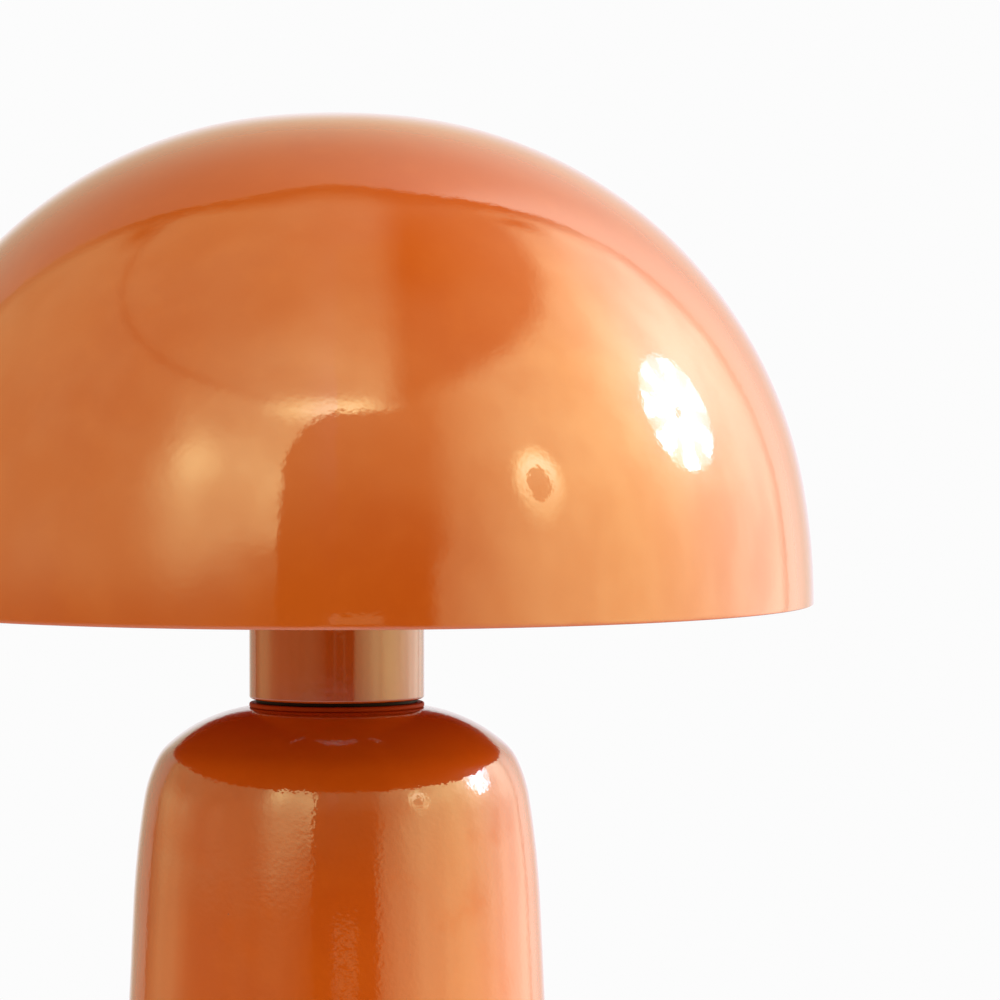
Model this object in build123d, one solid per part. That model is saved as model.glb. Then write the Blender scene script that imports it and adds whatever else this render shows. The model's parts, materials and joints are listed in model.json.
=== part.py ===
from build123d import *

import os
from math import acos, atan2, cos, degrees, hypot, radians, sin, sqrt, tan

# Mushroom floor lamp: a domed metal shade that rests on a three-armed carrier,
# over a tall tapering metal body. Millimetres, +Z up, the floor at Z = 0, the
# lamp's axis on Z, its front towards -Y and its cord inlet at the rear, +Y.

# ---- driving dimensions -------------------------------------------------

# shade: three tangent arcs, each given by its radius and the slope at its end
SHADE_RADIUS = 250.0
SHADE_WALL = 1.2
CROWN_ARC = 356.2
CROWN_END_SLOPE = 5.8
SIDE_END_SLOPE = 80.3
SKIRT_ARC = 358.3
SKIRT_END_SLOPE = 89.9
RIM_ROUNDING = 0.4
RIM_ABOVE_NECK_FLOOR = 50.1

# body: a spun shell with a rounded shoulder that runs on into a long cone
BODY_HEIGHT = 688.5
BASE_RADIUS = 133.5
BODY_WALL = 1.2
BODY_LIFT = 2.0
SHOULDER_START_SLOPE = 7.5
SHOULDER_BENDS = ((79.6, 42.0), (24.9, 64.0), (74.9, 81.0))
FLANK_ARC = 515.6

# collar, shadow gap and neck between the body and the shade
NECK_RADIUS = 46.0
NECK_HEIGHT = 70.0
NECK_WALL = 2.0
NECK_ROUNDING = 1.4
COLLAR_THICKNESS = 2.5
COLLAR_ROUNDING = 0.8
SPACER_RADIUS = 42.5
SPACER_THICKNESS = 1.9
NECK_CAP_THICKNESS = 2.0
NECK_CAP_SPIGOT = 4.0
SHOULDER_PLATE_RADIUS = 30.0
SHOULDER_PLATE_THICKNESS = 3.0

# threaded stem that clamps the lamp together, with its nuts and washers
STEM_RADIUS = 5.0
STEM_BORE_RADIUS = 3.6
STEM_STUB = 0.5
NUT_ACROSS_FLATS = 14.0
NUT_HEIGHT = 4.0
NUT_CHAMFER = 0.8
WASHER_RADIUS = 12.0
WASHER_THICKNESS = 1.5

# base: ballast casting, welded ring above it, cover plate and floor pad
PAD_THICKNESS = 2.5
PAD_WIDTH = 14.0
PAD_INSET = 5.0
BASE_PLATE_THICKNESS = 2.0
BALLAST_HEIGHT = 20.0
RECESS_RADIUS = 48.0
RECESS_DEPTH = 16.0
WELD_RING_WIDTH = 26.0
WELD_RING_THICKNESS = 3.0
BASE_SCREW_CIRCLE = 92.0
BASE_SCREW_COUNT = 3
BASE_SCREW_RADIUS = 2.0
BASE_SCREW_HEAD_RADIUS = 4.0
BASE_SCREW_LENGTH = 12.0

# wiring in the base recess
BLOCK_WIDTH = 26.0
BLOCK_DEPTH = 17.0
BLOCK_HEIGHT = 11.0
BLOCK_FRONT = 24.0
BLOCK_FLOOR_GAP = 0.5
POLE_PITCH = 8.0
POLE_COUNT = 3
POLE_SETBACK = 3.2
POLE_SCREW_RADIUS = 1.5
POLE_SCREW_LENGTH = 4.5
POLE_SCREW_SINK = 0.6
BLOCK_SCREW_RADIUS = 1.25
BLOCK_SCREW_HEAD_RADIUS = 2.2
BLOCK_SCREW_HEAD_HEIGHT = 1.3
BLOCK_SCREW_LENGTH = 13.0
EARTH_TAG_RADIUS = 8.0
EARTH_TAG_THICKNESS = 0.8
EARTH_TAG_REACH = 21.0
EARTH_TAG_WIDTH = 6.3
LEAD_RADIUS = 2.0
LEAD_BEND = 6.0

# cord inlet: a grommet square to the wall at the rear
INLET_MARGIN = 0.8
GROMMET_BORE_RADIUS = 3.4
GROMMET_BARREL_RADIUS = 5.2
GROMMET_FLANGE_RADIUS = 7.0
GROMMET_OUTER_FLANGE = 2.4
GROMMET_INNER_FLANGE = 2.0
GROMMET_OUTER_ROOM = 0.15
GROMMET_INNER_ROOM = 0.4
GROMMET_ROUNDING = 0.9

# screw holder for the bulb
CAP_BOSS_RADIUS = 8.5
CAP_BOSS_HEIGHT = 4.0
CAP_RADIUS = 20.5
CAP_HEIGHT = 15.0
CAP_FLOOR = 2.0
CAP_WALL = 1.8
CAP_SLOPE = 4.0
INSERT_HOLLOW_RADIUS = 9.0
INSERT_HOLLOW_DEPTH = 4.0
INSERT_TOP = 18.6
HOLDER_SKIRT_RADIUS = 19.5
HOLDER_SKIRT_WALL = 2.0
HOLDER_SKIRT_HEIGHT = 36.6
HOLDER_FLANGE_RADIUS = 22.5
HOLDER_FLANGE_HEIGHT = 3.5
SCREW_SHELL_WALL = 0.4
SCREW_SHELL_RIM = 2.2
SCREW_SHELL_FLOOR_HOLE = 7.0
CONTACT_BASE_RADIUS = 4.0
CONTACT_BASE_HEIGHT = 1.0
CONTACT_POST_RADIUS = 2.5
CONTACT_HEIGHT = 4.4

# shade carrier: hub, clamping ring, three bent arms with soft tips
HUB_RADIUS = 34.0
HUB_THICKNESS = 8.0
RING_RADIUS = 26.0
RING_HEIGHT = 6.0
RING_NOTCH_COUNT = 12
RING_NOTCH_RADIUS = 1.6
ARM_COUNT = 3
ARM_RADIUS = 2.5
ARM_BEND = 20.0
ARM_SOCKET = 9.5
TIP_SLOPE = 48.9
TIP_RADIUS = 6.0
TIP_COVER = 4.4
GRUB_RADIUS = 1.5
GRUB_SETBACK = 4.0

# screw thread of the bulb cap and of its holder, shown as rings
THREAD_PITCH = 3.629
THREAD_DEPTH = 1.0
THREAD_CREST_RADIUS = 13.15
HOLDER_THREAD_TURNS = 6
BULB_THREAD_TURNS = 5

# bulb
BULB_TIP_RADIUS = 4.5
BULB_TIP_HEIGHT = 1.5
INSULATOR_HEIGHT = 3.0
INSULATOR_RADIUS = 11.4
BULB_CAP_FOOT = 1.0
BULB_CAP_COLLAR = 3.9
BULB_CAP_WALL = 0.5
HOUSING_HEIGHT = 29.0
HOUSING_FOOT_RADIUS = 13.7
HOUSING_TOP_RADIUS = 21.2
HOUSING_WALL = 2.0
HOUSING_BULGE = 1.2
LED_PLATE_THICKNESS = 2.0
LED_LEDGE = 1.2
LED_COUNT = 8
LED_CIRCLE = 11.0
LED_SIZE = (3.5, 2.8, 0.7)
GLOBE_RADIUS = 30.0
GLOBE_WALL = 1.2
GLOBE_SEAT = 0.8
BOARD_THICKNESS = 1.6
BOARD_FOOT_GAP = 2.0

# clearances
THREAD_CLEARANCE = 0.1
THREAD_RUNNING_CLEARANCE = 0.2
STEM_CLEARANCE = 0.3
SCREW_CLEARANCE = 0.1
FIT_CLEARANCE = 0.2
WELD_CLEARANCE = 0.1
PLATE_CLEARANCE = 0.5
BALLAST_CLEARANCE = 1.5
TIP_CLEARANCE = 0.3
CONTACT_GAP = 0.1


# ---- helpers ------------------------------------------------------------


def on_arc(centre, radius, slope):
    """Point of an arc in the (radius, height) half plane where it falls at that slope, in degrees."""
    return (centre[0] + radius * sin(radians(slope)), centre[1] + radius * cos(radians(slope)))


def arc_edge(centre, radius, start_slope, end_slope):
    """Arc between two slopes about one centre, as an edge in the XZ plane."""
    slopes = (start_slope, (start_slope + end_slope) / 2, end_slope)
    points = [on_arc(centre, radius, slope) for slope in slopes]
    return ThreePointArc(*[(r, 0, z) for r, z in points])


def line_edge(start, end):
    """Straight edge in the XZ plane between two (radius, height) points."""
    return Line((start[0], 0, start[1]), (end[0], 0, end[1]))


def spun(edges):
    """Solid of revolution about Z from the edges of a closed outline in the XZ plane."""
    return revolve(make_face(edges), Axis.Z)


def turned(*outline):
    """Solid of revolution about Z from the corners of a closed outline, as (radius, height)."""
    corners = [(r, 0, z) for r, z in outline]
    return revolve(make_face(Polyline(*corners, close=True)), Axis.Z)


def ring(inner, outer, low, high):
    """Flat ring about Z, or a disc where the inner radius is 0."""
    return turned((inner, low), (outer, low), (outer, high), (inner, high))


def rod(radius, low, high, x=0.0, y=0.0):
    """Upright round rod."""
    return Pos(x, y, low) * Cylinder(radius, high - low, align=(Align.CENTER, Align.CENTER, Align.MIN))


def block(width, depth, low, high, front):
    """Upright box centred on X whose front face is at Y = front."""
    centre = (Align.CENTER, Align.MIN, Align.MIN)
    return Pos(0, front, low) * Box(width, depth, high - low, align=centre)


def rounded(solid, radius, *levels):
    """Rounds the outermost round edge of a solid at each height given."""
    chosen = []
    for level in levels:
        at_level = solid.edges().filter_by_position(Axis.Z, level - 1e-4, level + 1e-4)
        chosen.append(at_level.sort_by(SortBy.LENGTH)[-1])
    return fillet(chosen, radius)


def around(solid, count, start=0.0):
    """Copies of a solid evenly spaced about Z, kept as separate solids."""
    return [Rot(0, 0, start + 360 / count * i) * solid for i in range(count)]


def hex_nut(low):
    """Stem nut with its lower face at the height given."""
    corner = NUT_ACROSS_FLATS / 2 / cos(radians(30))
    high = low + NUT_HEIGHT
    prism = Pos(0, 0, low) * extrude(RegularPolygon(corner, 6), NUT_HEIGHT)
    blank = turned(
        (STEM_RADIUS + THREAD_CLEARANCE, low),
        (corner - NUT_CHAMFER, low),
        (corner, low + NUT_CHAMFER / 2),
        (corner, high - NUT_CHAMFER / 2),
        (corner - NUT_CHAMFER, high),
        (STEM_RADIUS + THREAD_CLEARANCE, high),
    )
    return prism & blank


def stem_washer(low, radius, thickness):
    """Washer or plate on the stem."""
    return ring(STEM_RADIUS + STEM_CLEARANCE, radius, low, low + thickness)


def thread_edges(mean_radius, low, turns):
    """Edges of a rounded thread's outline from low upwards, each turn one crest and one root."""
    edges = []
    quarter = THREAD_PITCH / 4
    for half_turn in range(2 * turns):
        z = low + 2 * half_turn * quarter
        swing = THREAD_DEPTH / 2 if half_turn % 2 == 0 else -THREAD_DEPTH / 2
        points = ((mean_radius, z), (mean_radius + swing, z + quarter), (mean_radius, z + 2 * quarter))
        edges.append(ThreePointArc(*[(r, 0, height) for r, height in points]))
    return edges


# ---- levels, from the floor up ------------------------------------------

base_plate_bottom = PAD_THICKNESS
ballast_bottom = base_plate_bottom + BASE_PLATE_THICKNESS
ballast_top = ballast_bottom + BALLAST_HEIGHT
recess_ceiling = ballast_bottom + RECESS_DEPTH
weld_ring_top = ballast_top + WELD_RING_THICKNESS
lower_washer_bottom = recess_ceiling - EARTH_TAG_THICKNESS - WASHER_THICKNESS
lower_nut_bottom = lower_washer_bottom - NUT_HEIGHT
stem_bottom = lower_nut_bottom - STEM_STUB
shoulder_underside = BODY_HEIGHT - BODY_WALL
shoulder_plate_bottom = shoulder_underside - SHOULDER_PLATE_THICKNESS
shoulder_nut_bottom = shoulder_plate_bottom - NUT_HEIGHT
collar_top = BODY_HEIGHT + COLLAR_THICKNESS
neck_bottom = collar_top + SPACER_THICKNESS
neck_top = neck_bottom + NECK_HEIGHT
neck_cap_top = neck_top + NECK_CAP_THICKNESS
neck_nut_bottom = neck_cap_top + WASHER_THICKNESS
holder_bottom = neck_nut_bottom + NUT_HEIGHT
cap_shoulder = holder_bottom + CAP_BOSS_HEIGHT
cap_floor_top = cap_shoulder + CAP_FLOOR
cap_top = cap_shoulder + CAP_HEIGHT
insert_top = cap_floor_top + INSERT_TOP
hub_bottom = cap_top + HOLDER_FLANGE_HEIGHT
hub_top = hub_bottom + HUB_THICKNESS
arm_level = (hub_bottom + hub_top) / 2
bulb_bottom = insert_top + CONTACT_HEIGHT + CONTACT_GAP
insulator_bottom = bulb_bottom + BULB_TIP_HEIGHT
bulb_cap_bottom = insulator_bottom + INSULATOR_HEIGHT
bulb_thread_bottom = bulb_cap_bottom + BULB_CAP_FOOT
bulb_thread_top = bulb_thread_bottom + BULB_THREAD_TURNS * THREAD_PITCH
housing_bottom = bulb_thread_top + BULB_CAP_COLLAR
housing_top = housing_bottom + HOUSING_HEIGHT

# ---- shade outline ------------------------------------------------------

crown_sine = sin(radians(CROWN_END_SLOPE))
side_sine = sin(radians(SIDE_END_SLOPE))
skirt_sine = sin(radians(SKIRT_END_SLOPE))
crown_reach = CROWN_ARC * crown_sine
skirt_reach = SKIRT_ARC * (skirt_sine - side_sine)
side_arc = (SHADE_RADIUS - crown_reach - skirt_reach) / (side_sine - crown_sine)

rim_level = neck_bottom + RIM_ABOVE_NECK_FLOOR
skirt_centre = (SHADE_RADIUS - SKIRT_ARC * skirt_sine, rim_level - SKIRT_ARC * cos(radians(SKIRT_END_SLOPE)))
side_centre = on_arc(skirt_centre, SKIRT_ARC - side_arc, SIDE_END_SLOPE)
crown_centre = on_arc(side_centre, side_arc - CROWN_ARC, CROWN_END_SLOPE)
lamp_top = crown_centre[1] + CROWN_ARC


def shade_edges(depth):
    """The shade's outline from the crown to the rim, at a depth under its outer surface."""
    return [
        arc_edge(crown_centre, CROWN_ARC - depth, 0, CROWN_END_SLOPE),
        arc_edge(side_centre, side_arc - depth, CROWN_END_SLOPE, SIDE_END_SLOPE),
        arc_edge(skirt_centre, SKIRT_ARC - depth, SIDE_END_SLOPE, SKIRT_END_SLOPE),
    ]


# ---- body outline -------------------------------------------------------


def shoulder_centres():
    """Centres of the shoulder's arcs, each tangent to the one before, then of the flank's arc."""
    slope = SHOULDER_START_SLOPE
    corner = (NECK_RADIUS, BODY_HEIGHT)
    centres = []
    for radius, end_slope in SHOULDER_BENDS + ((FLANK_ARC, 90.0),):
        centre = on_arc(corner, -radius, slope)
        centres.append(centre)
        corner = on_arc(centre, radius, end_slope)
        slope = end_slope
    return centres


body_centres = shoulder_centres()
flank_centre = body_centres[-1]
foot_offset = (BASE_RADIUS - flank_centre[0], BODY_LIFT - flank_centre[1])
foot_distance = hypot(*foot_offset)
cone_slope = degrees(atan2(foot_offset[0], foot_offset[1]) - acos(FLANK_ARC / foot_distance))
cone_tangent = tan(radians(cone_slope))
wall_across = BODY_WALL / sin(radians(cone_slope))


def body_inner_radius(level):
    """Radius of the cone's inside at a height above the floor."""
    return BASE_RADIUS - wall_across - (level - BODY_LIFT) / cone_tangent


def body_edges(depth, first_slope, foot_radius):
    """The body's outline from its flat top to its foot, at a depth under its outer surface."""
    slopes = [first_slope] + [end for _, end in SHOULDER_BENDS] + [cone_slope]
    radii = [radius for radius, _ in SHOULDER_BENDS] + [FLANK_ARC]
    edges = []
    for centre, radius, start, end in zip(body_centres, radii, slopes, slopes[1:]):
        edges.append(arc_edge(centre, radius - depth, start, end))
    edges.append(line_edge(on_arc(flank_centre, FLANK_ARC - depth, cone_slope), (foot_radius, BODY_LIFT)))
    return edges


# ---- shade and carrier --------------------------------------------------


def make_shade_dome():
    """Spun dome, open below, its rim lightly rounded."""
    rim_outer = on_arc(skirt_centre, SKIRT_ARC, SKIRT_END_SLOPE)
    rim_inner = on_arc(skirt_centre, SKIRT_ARC - SHADE_WALL, SKIRT_END_SLOPE)
    edges = shade_edges(0) + shade_edges(SHADE_WALL)
    edges.append(line_edge((0, lamp_top), (0, lamp_top - SHADE_WALL)))
    edges.append(line_edge(rim_outer, rim_inner))
    dome = spun(edges)
    rim = dome.edges().filter_by(GeomType.CIRCLE).group_by(Axis.Z)[0]
    return fillet(rim, RIM_ROUNDING)


def arm_route():
    """Centre line of one arm along +X: out of the hub, then up square to the shade's inside."""
    rise = tan(radians(TIP_SLOPE))
    corner = side_centre[0] + (arm_level - side_centre[1]) * rise
    end = on_arc(tip_centre, TIP_COVER - TIP_RADIUS + THREAD_CLEARANCE, TIP_SLOPE)
    points = ((HUB_RADIUS - ARM_SOCKET, arm_level), (corner, arm_level), end)
    return FilletPolyline(*[(r, 0, z) for r, z in points], radius=ARM_BEND)


tip_reach = side_arc - SHADE_WALL - TIP_CLEARANCE - TIP_RADIUS
tip_centre = on_arc(side_centre, tip_reach, TIP_SLOPE)
FIRST_ARM = 90.0


def make_arm():
    """Bent round arm along +X."""
    route = arm_route()
    section = Plane(origin=route @ 0, z_dir=route % 0) * Circle(ARM_RADIUS)
    return sweep(section, path=route)


def make_tip():
    """Soft ball pushed over the end of the arm along +X."""
    axis = Vector(sin(radians(TIP_SLOPE)), 0, cos(radians(TIP_SLOPE)))
    centre = Vector(tip_centre[0], 0, tip_centre[1])
    bore_end = centre + axis * (TIP_COVER - TIP_RADIUS + THREAD_CLEARANCE + FIT_CLEARANCE)
    bore_plane = Plane(origin=bore_end, z_dir=-axis)
    bore = extrude(bore_plane * Circle(ARM_RADIUS + THREAD_CLEARANCE), 2 * TIP_RADIUS)
    return Pos(*centre) * Sphere(TIP_RADIUS) - bore


def make_carrier_hub():
    """Hub on the bulb holder, with a socket for each arm and a tapped hole above it."""
    hub = ring(HOLDER_SKIRT_RADIUS + FIT_CLEARANCE, HUB_RADIUS, hub_bottom, hub_top)
    hub = rounded(hub, NUT_CHAMFER, hub_bottom, hub_top)
    socket_plane = Plane(origin=(HUB_RADIUS - ARM_SOCKET - FIT_CLEARANCE, 0, arm_level), z_dir=(1, 0, 0))
    socket = extrude(socket_plane * Circle(ARM_RADIUS + THREAD_CLEARANCE), 2 * ARM_SOCKET)
    tapped = rod(GRUB_RADIUS + THREAD_CLEARANCE, arm_level, hub_top + 1, x=HUB_RADIUS - GRUB_SETBACK)
    for cut in around(socket + tapped, ARM_COUNT, FIRST_ARM):
        hub -= cut
    return hub


def make_grub():
    """Grub screw that holds the arm along +X in the hub."""
    low = arm_level + ARM_RADIUS + THREAD_CLEARANCE
    return rod(GRUB_RADIUS, low, hub_top, x=HUB_RADIUS - GRUB_SETBACK)


def make_shade_ring():
    """Notched ring that clamps the hub on the holder's flange."""
    body = ring(HOLDER_SKIRT_RADIUS + FIT_CLEARANCE, RING_RADIUS, hub_top, hub_top + RING_HEIGHT)
    notch = rod(RING_NOTCH_RADIUS, hub_top, hub_top + RING_HEIGHT, x=RING_RADIUS)
    for cut in around(notch, RING_NOTCH_COUNT):
        body -= cut
    return body


# ---- body, collar and neck ----------------------------------------------

inlet_room = GROMMET_FLANGE_RADIUS + INLET_MARGIN
inlet_level = ballast_bottom + inlet_room
grommet_wall_radius = BASE_RADIUS - (inlet_level - BODY_LIFT) / cone_tangent
grommet_normal = (0, sin(radians(cone_slope)), cos(radians(cone_slope)))
grommet_plane = Plane(origin=(0, grommet_wall_radius, inlet_level), x_dir=(1, 0, 0), z_dir=grommet_normal)


def make_body_shell():
    """Spun steel shell, closed at the top but for the stem's hole, with the cord inlet's hole."""
    first = SHOULDER_BENDS[0][0]
    inner_cosine = (first * cos(radians(SHOULDER_START_SLOPE)) - BODY_WALL) / (first - BODY_WALL)
    inner_start = degrees(acos(inner_cosine))
    inner_corner = on_arc(body_centres[0], first - BODY_WALL, inner_start)
    foot_inner = body_inner_radius(BODY_LIFT)
    hole = STEM_RADIUS + STEM_CLEARANCE
    edges = [line_edge((hole, BODY_HEIGHT), (NECK_RADIUS, BODY_HEIGHT))]
    edges += body_edges(0, SHOULDER_START_SLOPE, BASE_RADIUS)
    edges.append(line_edge((BASE_RADIUS, BODY_LIFT), (foot_inner, BODY_LIFT)))
    edges += body_edges(BODY_WALL, inner_start, foot_inner)
    edges.append(line_edge(inner_corner, (hole, shoulder_underside)))
    edges.append(line_edge((hole, shoulder_underside), (hole, BODY_HEIGHT)))
    cut = Cylinder(GROMMET_BARREL_RADIUS + FIT_CLEARANCE, 20 * BODY_WALL)
    return spun(edges) - grommet_plane * cut


def make_cord_grommet():
    """Rubber grommet in the rear wall, square to it; its origin is on the wall's outside."""
    outer_foot = GROMMET_OUTER_ROOM
    outer_end = outer_foot + GROMMET_OUTER_FLANGE
    inner_foot = -BODY_WALL - GROMMET_INNER_ROOM
    inner_end = inner_foot - GROMMET_INNER_FLANGE
    shape = turned(
        (GROMMET_BORE_RADIUS, inner_end),
        (GROMMET_FLANGE_RADIUS, inner_end),
        (GROMMET_FLANGE_RADIUS, inner_foot),
        (GROMMET_BARREL_RADIUS, inner_foot),
        (GROMMET_BARREL_RADIUS, outer_foot),
        (GROMMET_FLANGE_RADIUS, outer_foot),
        (GROMMET_FLANGE_RADIUS, outer_end),
        (GROMMET_BORE_RADIUS, outer_end),
    )
    return grommet_plane * rounded(shape, GROMMET_ROUNDING, outer_end)


def make_collar_plate():
    """Round plate on the body's flat top, its edge softly rounded."""
    return rounded(stem_washer(BODY_HEIGHT, NECK_RADIUS, COLLAR_THICKNESS), COLLAR_ROUNDING, collar_top)


def make_neck_shell():
    """Cup-shaped neck, open at the top, with the stem's hole in its floor."""
    shape = turned(
        (STEM_RADIUS + STEM_CLEARANCE, neck_bottom),
        (NECK_RADIUS, neck_bottom),
        (NECK_RADIUS, neck_top),
        (NECK_RADIUS - NECK_WALL, neck_top),
        (NECK_RADIUS - NECK_WALL, neck_bottom + NECK_WALL),
        (STEM_RADIUS + STEM_CLEARANCE, neck_bottom + NECK_WALL),
    )
    return rounded(shape, NECK_ROUNDING, neck_bottom)


def make_neck_cap():
    """Lid of the neck, with a spigot that centres it in the cup."""
    lid = stem_washer(neck_top, NECK_RADIUS, NECK_CAP_THICKNESS)
    spigot_radius = NECK_RADIUS - NECK_WALL - FIT_CLEARANCE
    spigot = ring(spigot_radius - NECK_WALL, spigot_radius, neck_top - NECK_CAP_SPIGOT, neck_top)
    return rounded(lid, COLLAR_ROUNDING, neck_cap_top) + spigot


# ---- base ---------------------------------------------------------------

base_plate_radius = body_inner_radius(ballast_bottom) - PLATE_CLEARANCE
pad_radius = base_plate_radius - PAD_INSET
ballast_radius = body_inner_radius(ballast_top) - BALLAST_CLEARANCE
weld_ring_radius = body_inner_radius(weld_ring_top) - WELD_CLEARANCE
block_bottom = ballast_bottom + BLOCK_FLOOR_GAP
block_top = block_bottom + BLOCK_HEIGHT
block_centre = BLOCK_FRONT + BLOCK_DEPTH / 2
FIRST_BASE_SCREW = 30.0


def base_screw(extra):
    """Countersunk screw on +X from the plate's underside up, or its hole where extra is more than 0."""
    head_height = BASE_SCREW_HEAD_RADIUS - BASE_SCREW_RADIUS
    low = base_plate_bottom
    head = (
        (0, low),
        (BASE_SCREW_HEAD_RADIUS + extra, low),
        (BASE_SCREW_RADIUS + extra, low + head_height),
        (BASE_SCREW_RADIUS + extra, low + BASE_SCREW_LENGTH + extra),
        (0, low + BASE_SCREW_LENGTH + extra),
    )
    return Pos(BASE_SCREW_CIRCLE, 0, 0) * turned(*head)


def make_ballast():
    """Cast weight with a wiring recess, a channel to the cord inlet and a boss for the terminals."""
    weight = ring(STEM_RADIUS + STEM_CLEARANCE, ballast_radius, ballast_bottom, ballast_top)
    weight -= ring(0, RECESS_RADIUS, ballast_bottom, recess_ceiling)
    weight -= block(2 * inlet_room, ballast_radius, ballast_bottom, inlet_level + inlet_room, RECESS_RADIUS / 2)
    weight += block(BLOCK_WIDTH, BLOCK_DEPTH, block_top, recess_ceiling, BLOCK_FRONT)
    for x in block_screw_places():
        hole_end = block_bottom + BLOCK_SCREW_HEAD_HEIGHT + BLOCK_SCREW_LENGTH + FIT_CLEARANCE
        weight -= rod(BLOCK_SCREW_RADIUS + SCREW_CLEARANCE, block_top, hole_end, x=x, y=block_centre)
    for hole in around(base_screw(SCREW_CLEARANCE), BASE_SCREW_COUNT, FIRST_BASE_SCREW):
        weight -= hole
    return weight


def make_base_plate():
    """Round cover plate under the ballast."""
    plate = ring(0, base_plate_radius, base_plate_bottom, ballast_bottom)
    for hole in around(base_screw(SCREW_CLEARANCE), BASE_SCREW_COUNT, FIRST_BASE_SCREW):
        plate -= hole
    return plate


def make_earth_tag():
    """Ring tag under the recess's ceiling, with a flat tab towards the front."""
    low = recess_ceiling - EARTH_TAG_THICKNESS
    tag = ring(0, EARTH_TAG_RADIUS, low, recess_ceiling)
    tag += block(EARTH_TAG_WIDTH, EARTH_TAG_REACH, low, recess_ceiling, -EARTH_TAG_REACH)
    return tag - rod(STEM_RADIUS + STEM_CLEARANCE, low, recess_ceiling)


def pole_places():
    """Centres of the terminal screws: one in each row for every pole."""
    rows = (BLOCK_FRONT + POLE_SETBACK, BLOCK_FRONT + BLOCK_DEPTH - POLE_SETBACK)
    first = -POLE_PITCH * (POLE_COUNT - 1) / 2
    return [(first + POLE_PITCH * i, y) for i in range(POLE_COUNT) for y in rows]


def block_screw_places():
    """X of the block's fixing screws, midway between its poles."""
    first = -POLE_PITCH * (POLE_COUNT - 2) / 2
    return [first + POLE_PITCH * i for i in range(POLE_COUNT - 1)]


def make_terminal_block():
    """Terminal strip screwed up against the ballast's boss, its screws reached from below."""
    strip = block(BLOCK_WIDTH, BLOCK_DEPTH, block_bottom, block_top, BLOCK_FRONT)
    well_top = block_bottom + POLE_SCREW_SINK + POLE_SCREW_LENGTH + FIT_CLEARANCE
    for x, y in pole_places():
        strip -= rod(POLE_SCREW_RADIUS + SCREW_CLEARANCE, block_bottom, well_top, x=x, y=y)
    head_top = block_bottom + BLOCK_SCREW_HEAD_HEIGHT
    for x in block_screw_places():
        strip -= rod(BLOCK_SCREW_HEAD_RADIUS + SCREW_CLEARANCE, block_bottom, head_top, x=x, y=block_centre)
        strip -= rod(BLOCK_SCREW_RADIUS + SCREW_CLEARANCE, head_top, block_top, x=x, y=block_centre)
    return strip


def make_terminal_screws():
    """Clamping screws of the terminal strip."""
    low = block_bottom + POLE_SCREW_SINK
    return [rod(POLE_SCREW_RADIUS, low, low + POLE_SCREW_LENGTH, x=x, y=y) for x, y in pole_places()]


def make_block_screws():
    """Screws that fix the terminal strip to the boss."""
    head_top = block_bottom + BLOCK_SCREW_HEAD_HEIGHT
    screws = []
    for x in block_screw_places():
        head = rod(BLOCK_SCREW_HEAD_RADIUS, block_bottom, head_top, x=x, y=block_centre)
        shank = rod(BLOCK_SCREW_RADIUS, head_top, head_top + BLOCK_SCREW_LENGTH, x=x, y=block_centre)
        screws.append(head + shank)
    return screws


def make_inner_lead():
    """Flexible lead from the terminal strip up through the stem to the bulb holder."""
    lead_level = stem_bottom - STEM_STUB - LEAD_BEND
    insert_hollow_top = cap_floor_top + INSERT_HOLLOW_DEPTH
    points = ((0, BLOCK_FRONT, lead_level), (0, 0, lead_level), (0, 0, insert_hollow_top))
    route = FilletPolyline(*points, radius=LEAD_BEND)
    section = Plane(origin=route @ 0, z_dir=route % 0) * Circle(LEAD_RADIUS)
    return sweep(section, path=route)


# ---- bulb holder --------------------------------------------------------


def make_holder_cap():
    """Lower half of the holder, with a threaded boss on the stem."""
    bore = STEM_RADIUS + THREAD_CLEARANCE
    inner = CAP_RADIUS - CAP_WALL
    slope_start = CAP_RADIUS - CAP_SLOPE
    inner_slope = CAP_SLOPE - CAP_WALL + 1
    return turned(
        (bore, holder_bottom),
        (CAP_BOSS_RADIUS, holder_bottom),
        (CAP_BOSS_RADIUS, cap_shoulder),
        (slope_start, cap_shoulder),
        (CAP_RADIUS, cap_shoulder + CAP_SLOPE),
        (CAP_RADIUS, cap_top),
        (inner, cap_top),
        (inner, cap_floor_top + inner_slope),
        (inner - inner_slope, cap_floor_top),
        (bore, cap_floor_top),
    )


def make_holder_insert():
    """Ceramic body inside the holder, hollow below for the wires."""
    radius = HOLDER_SKIRT_RADIUS - HOLDER_SKIRT_WALL - 2 * FIT_CLEARANCE
    foot = CAP_SLOPE - CAP_WALL
    return turned(
        (INSERT_HOLLOW_RADIUS, cap_floor_top),
        (radius - foot, cap_floor_top),
        (radius, cap_floor_top + foot),
        (radius, insert_top),
        (0, insert_top),
        (0, cap_floor_top + INSERT_HOLLOW_DEPTH),
        (INSERT_HOLLOW_RADIUS, cap_floor_top + INSERT_HOLLOW_DEPTH),
    )


def make_holder_skirt():
    """Outer sleeve of the holder, with the flange that carries the hub."""
    inner = HOLDER_SKIRT_RADIUS - HOLDER_SKIRT_WALL
    return turned(
        (inner, cap_top),
        (HOLDER_FLANGE_RADIUS, cap_top),
        (HOLDER_FLANGE_RADIUS, hub_bottom),
        (HOLDER_SKIRT_RADIUS, hub_bottom),
        (HOLDER_SKIRT_RADIUS, cap_top + HOLDER_SKIRT_HEIGHT),
        (inner, cap_top + HOLDER_SKIRT_HEIGHT),
    )


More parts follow.
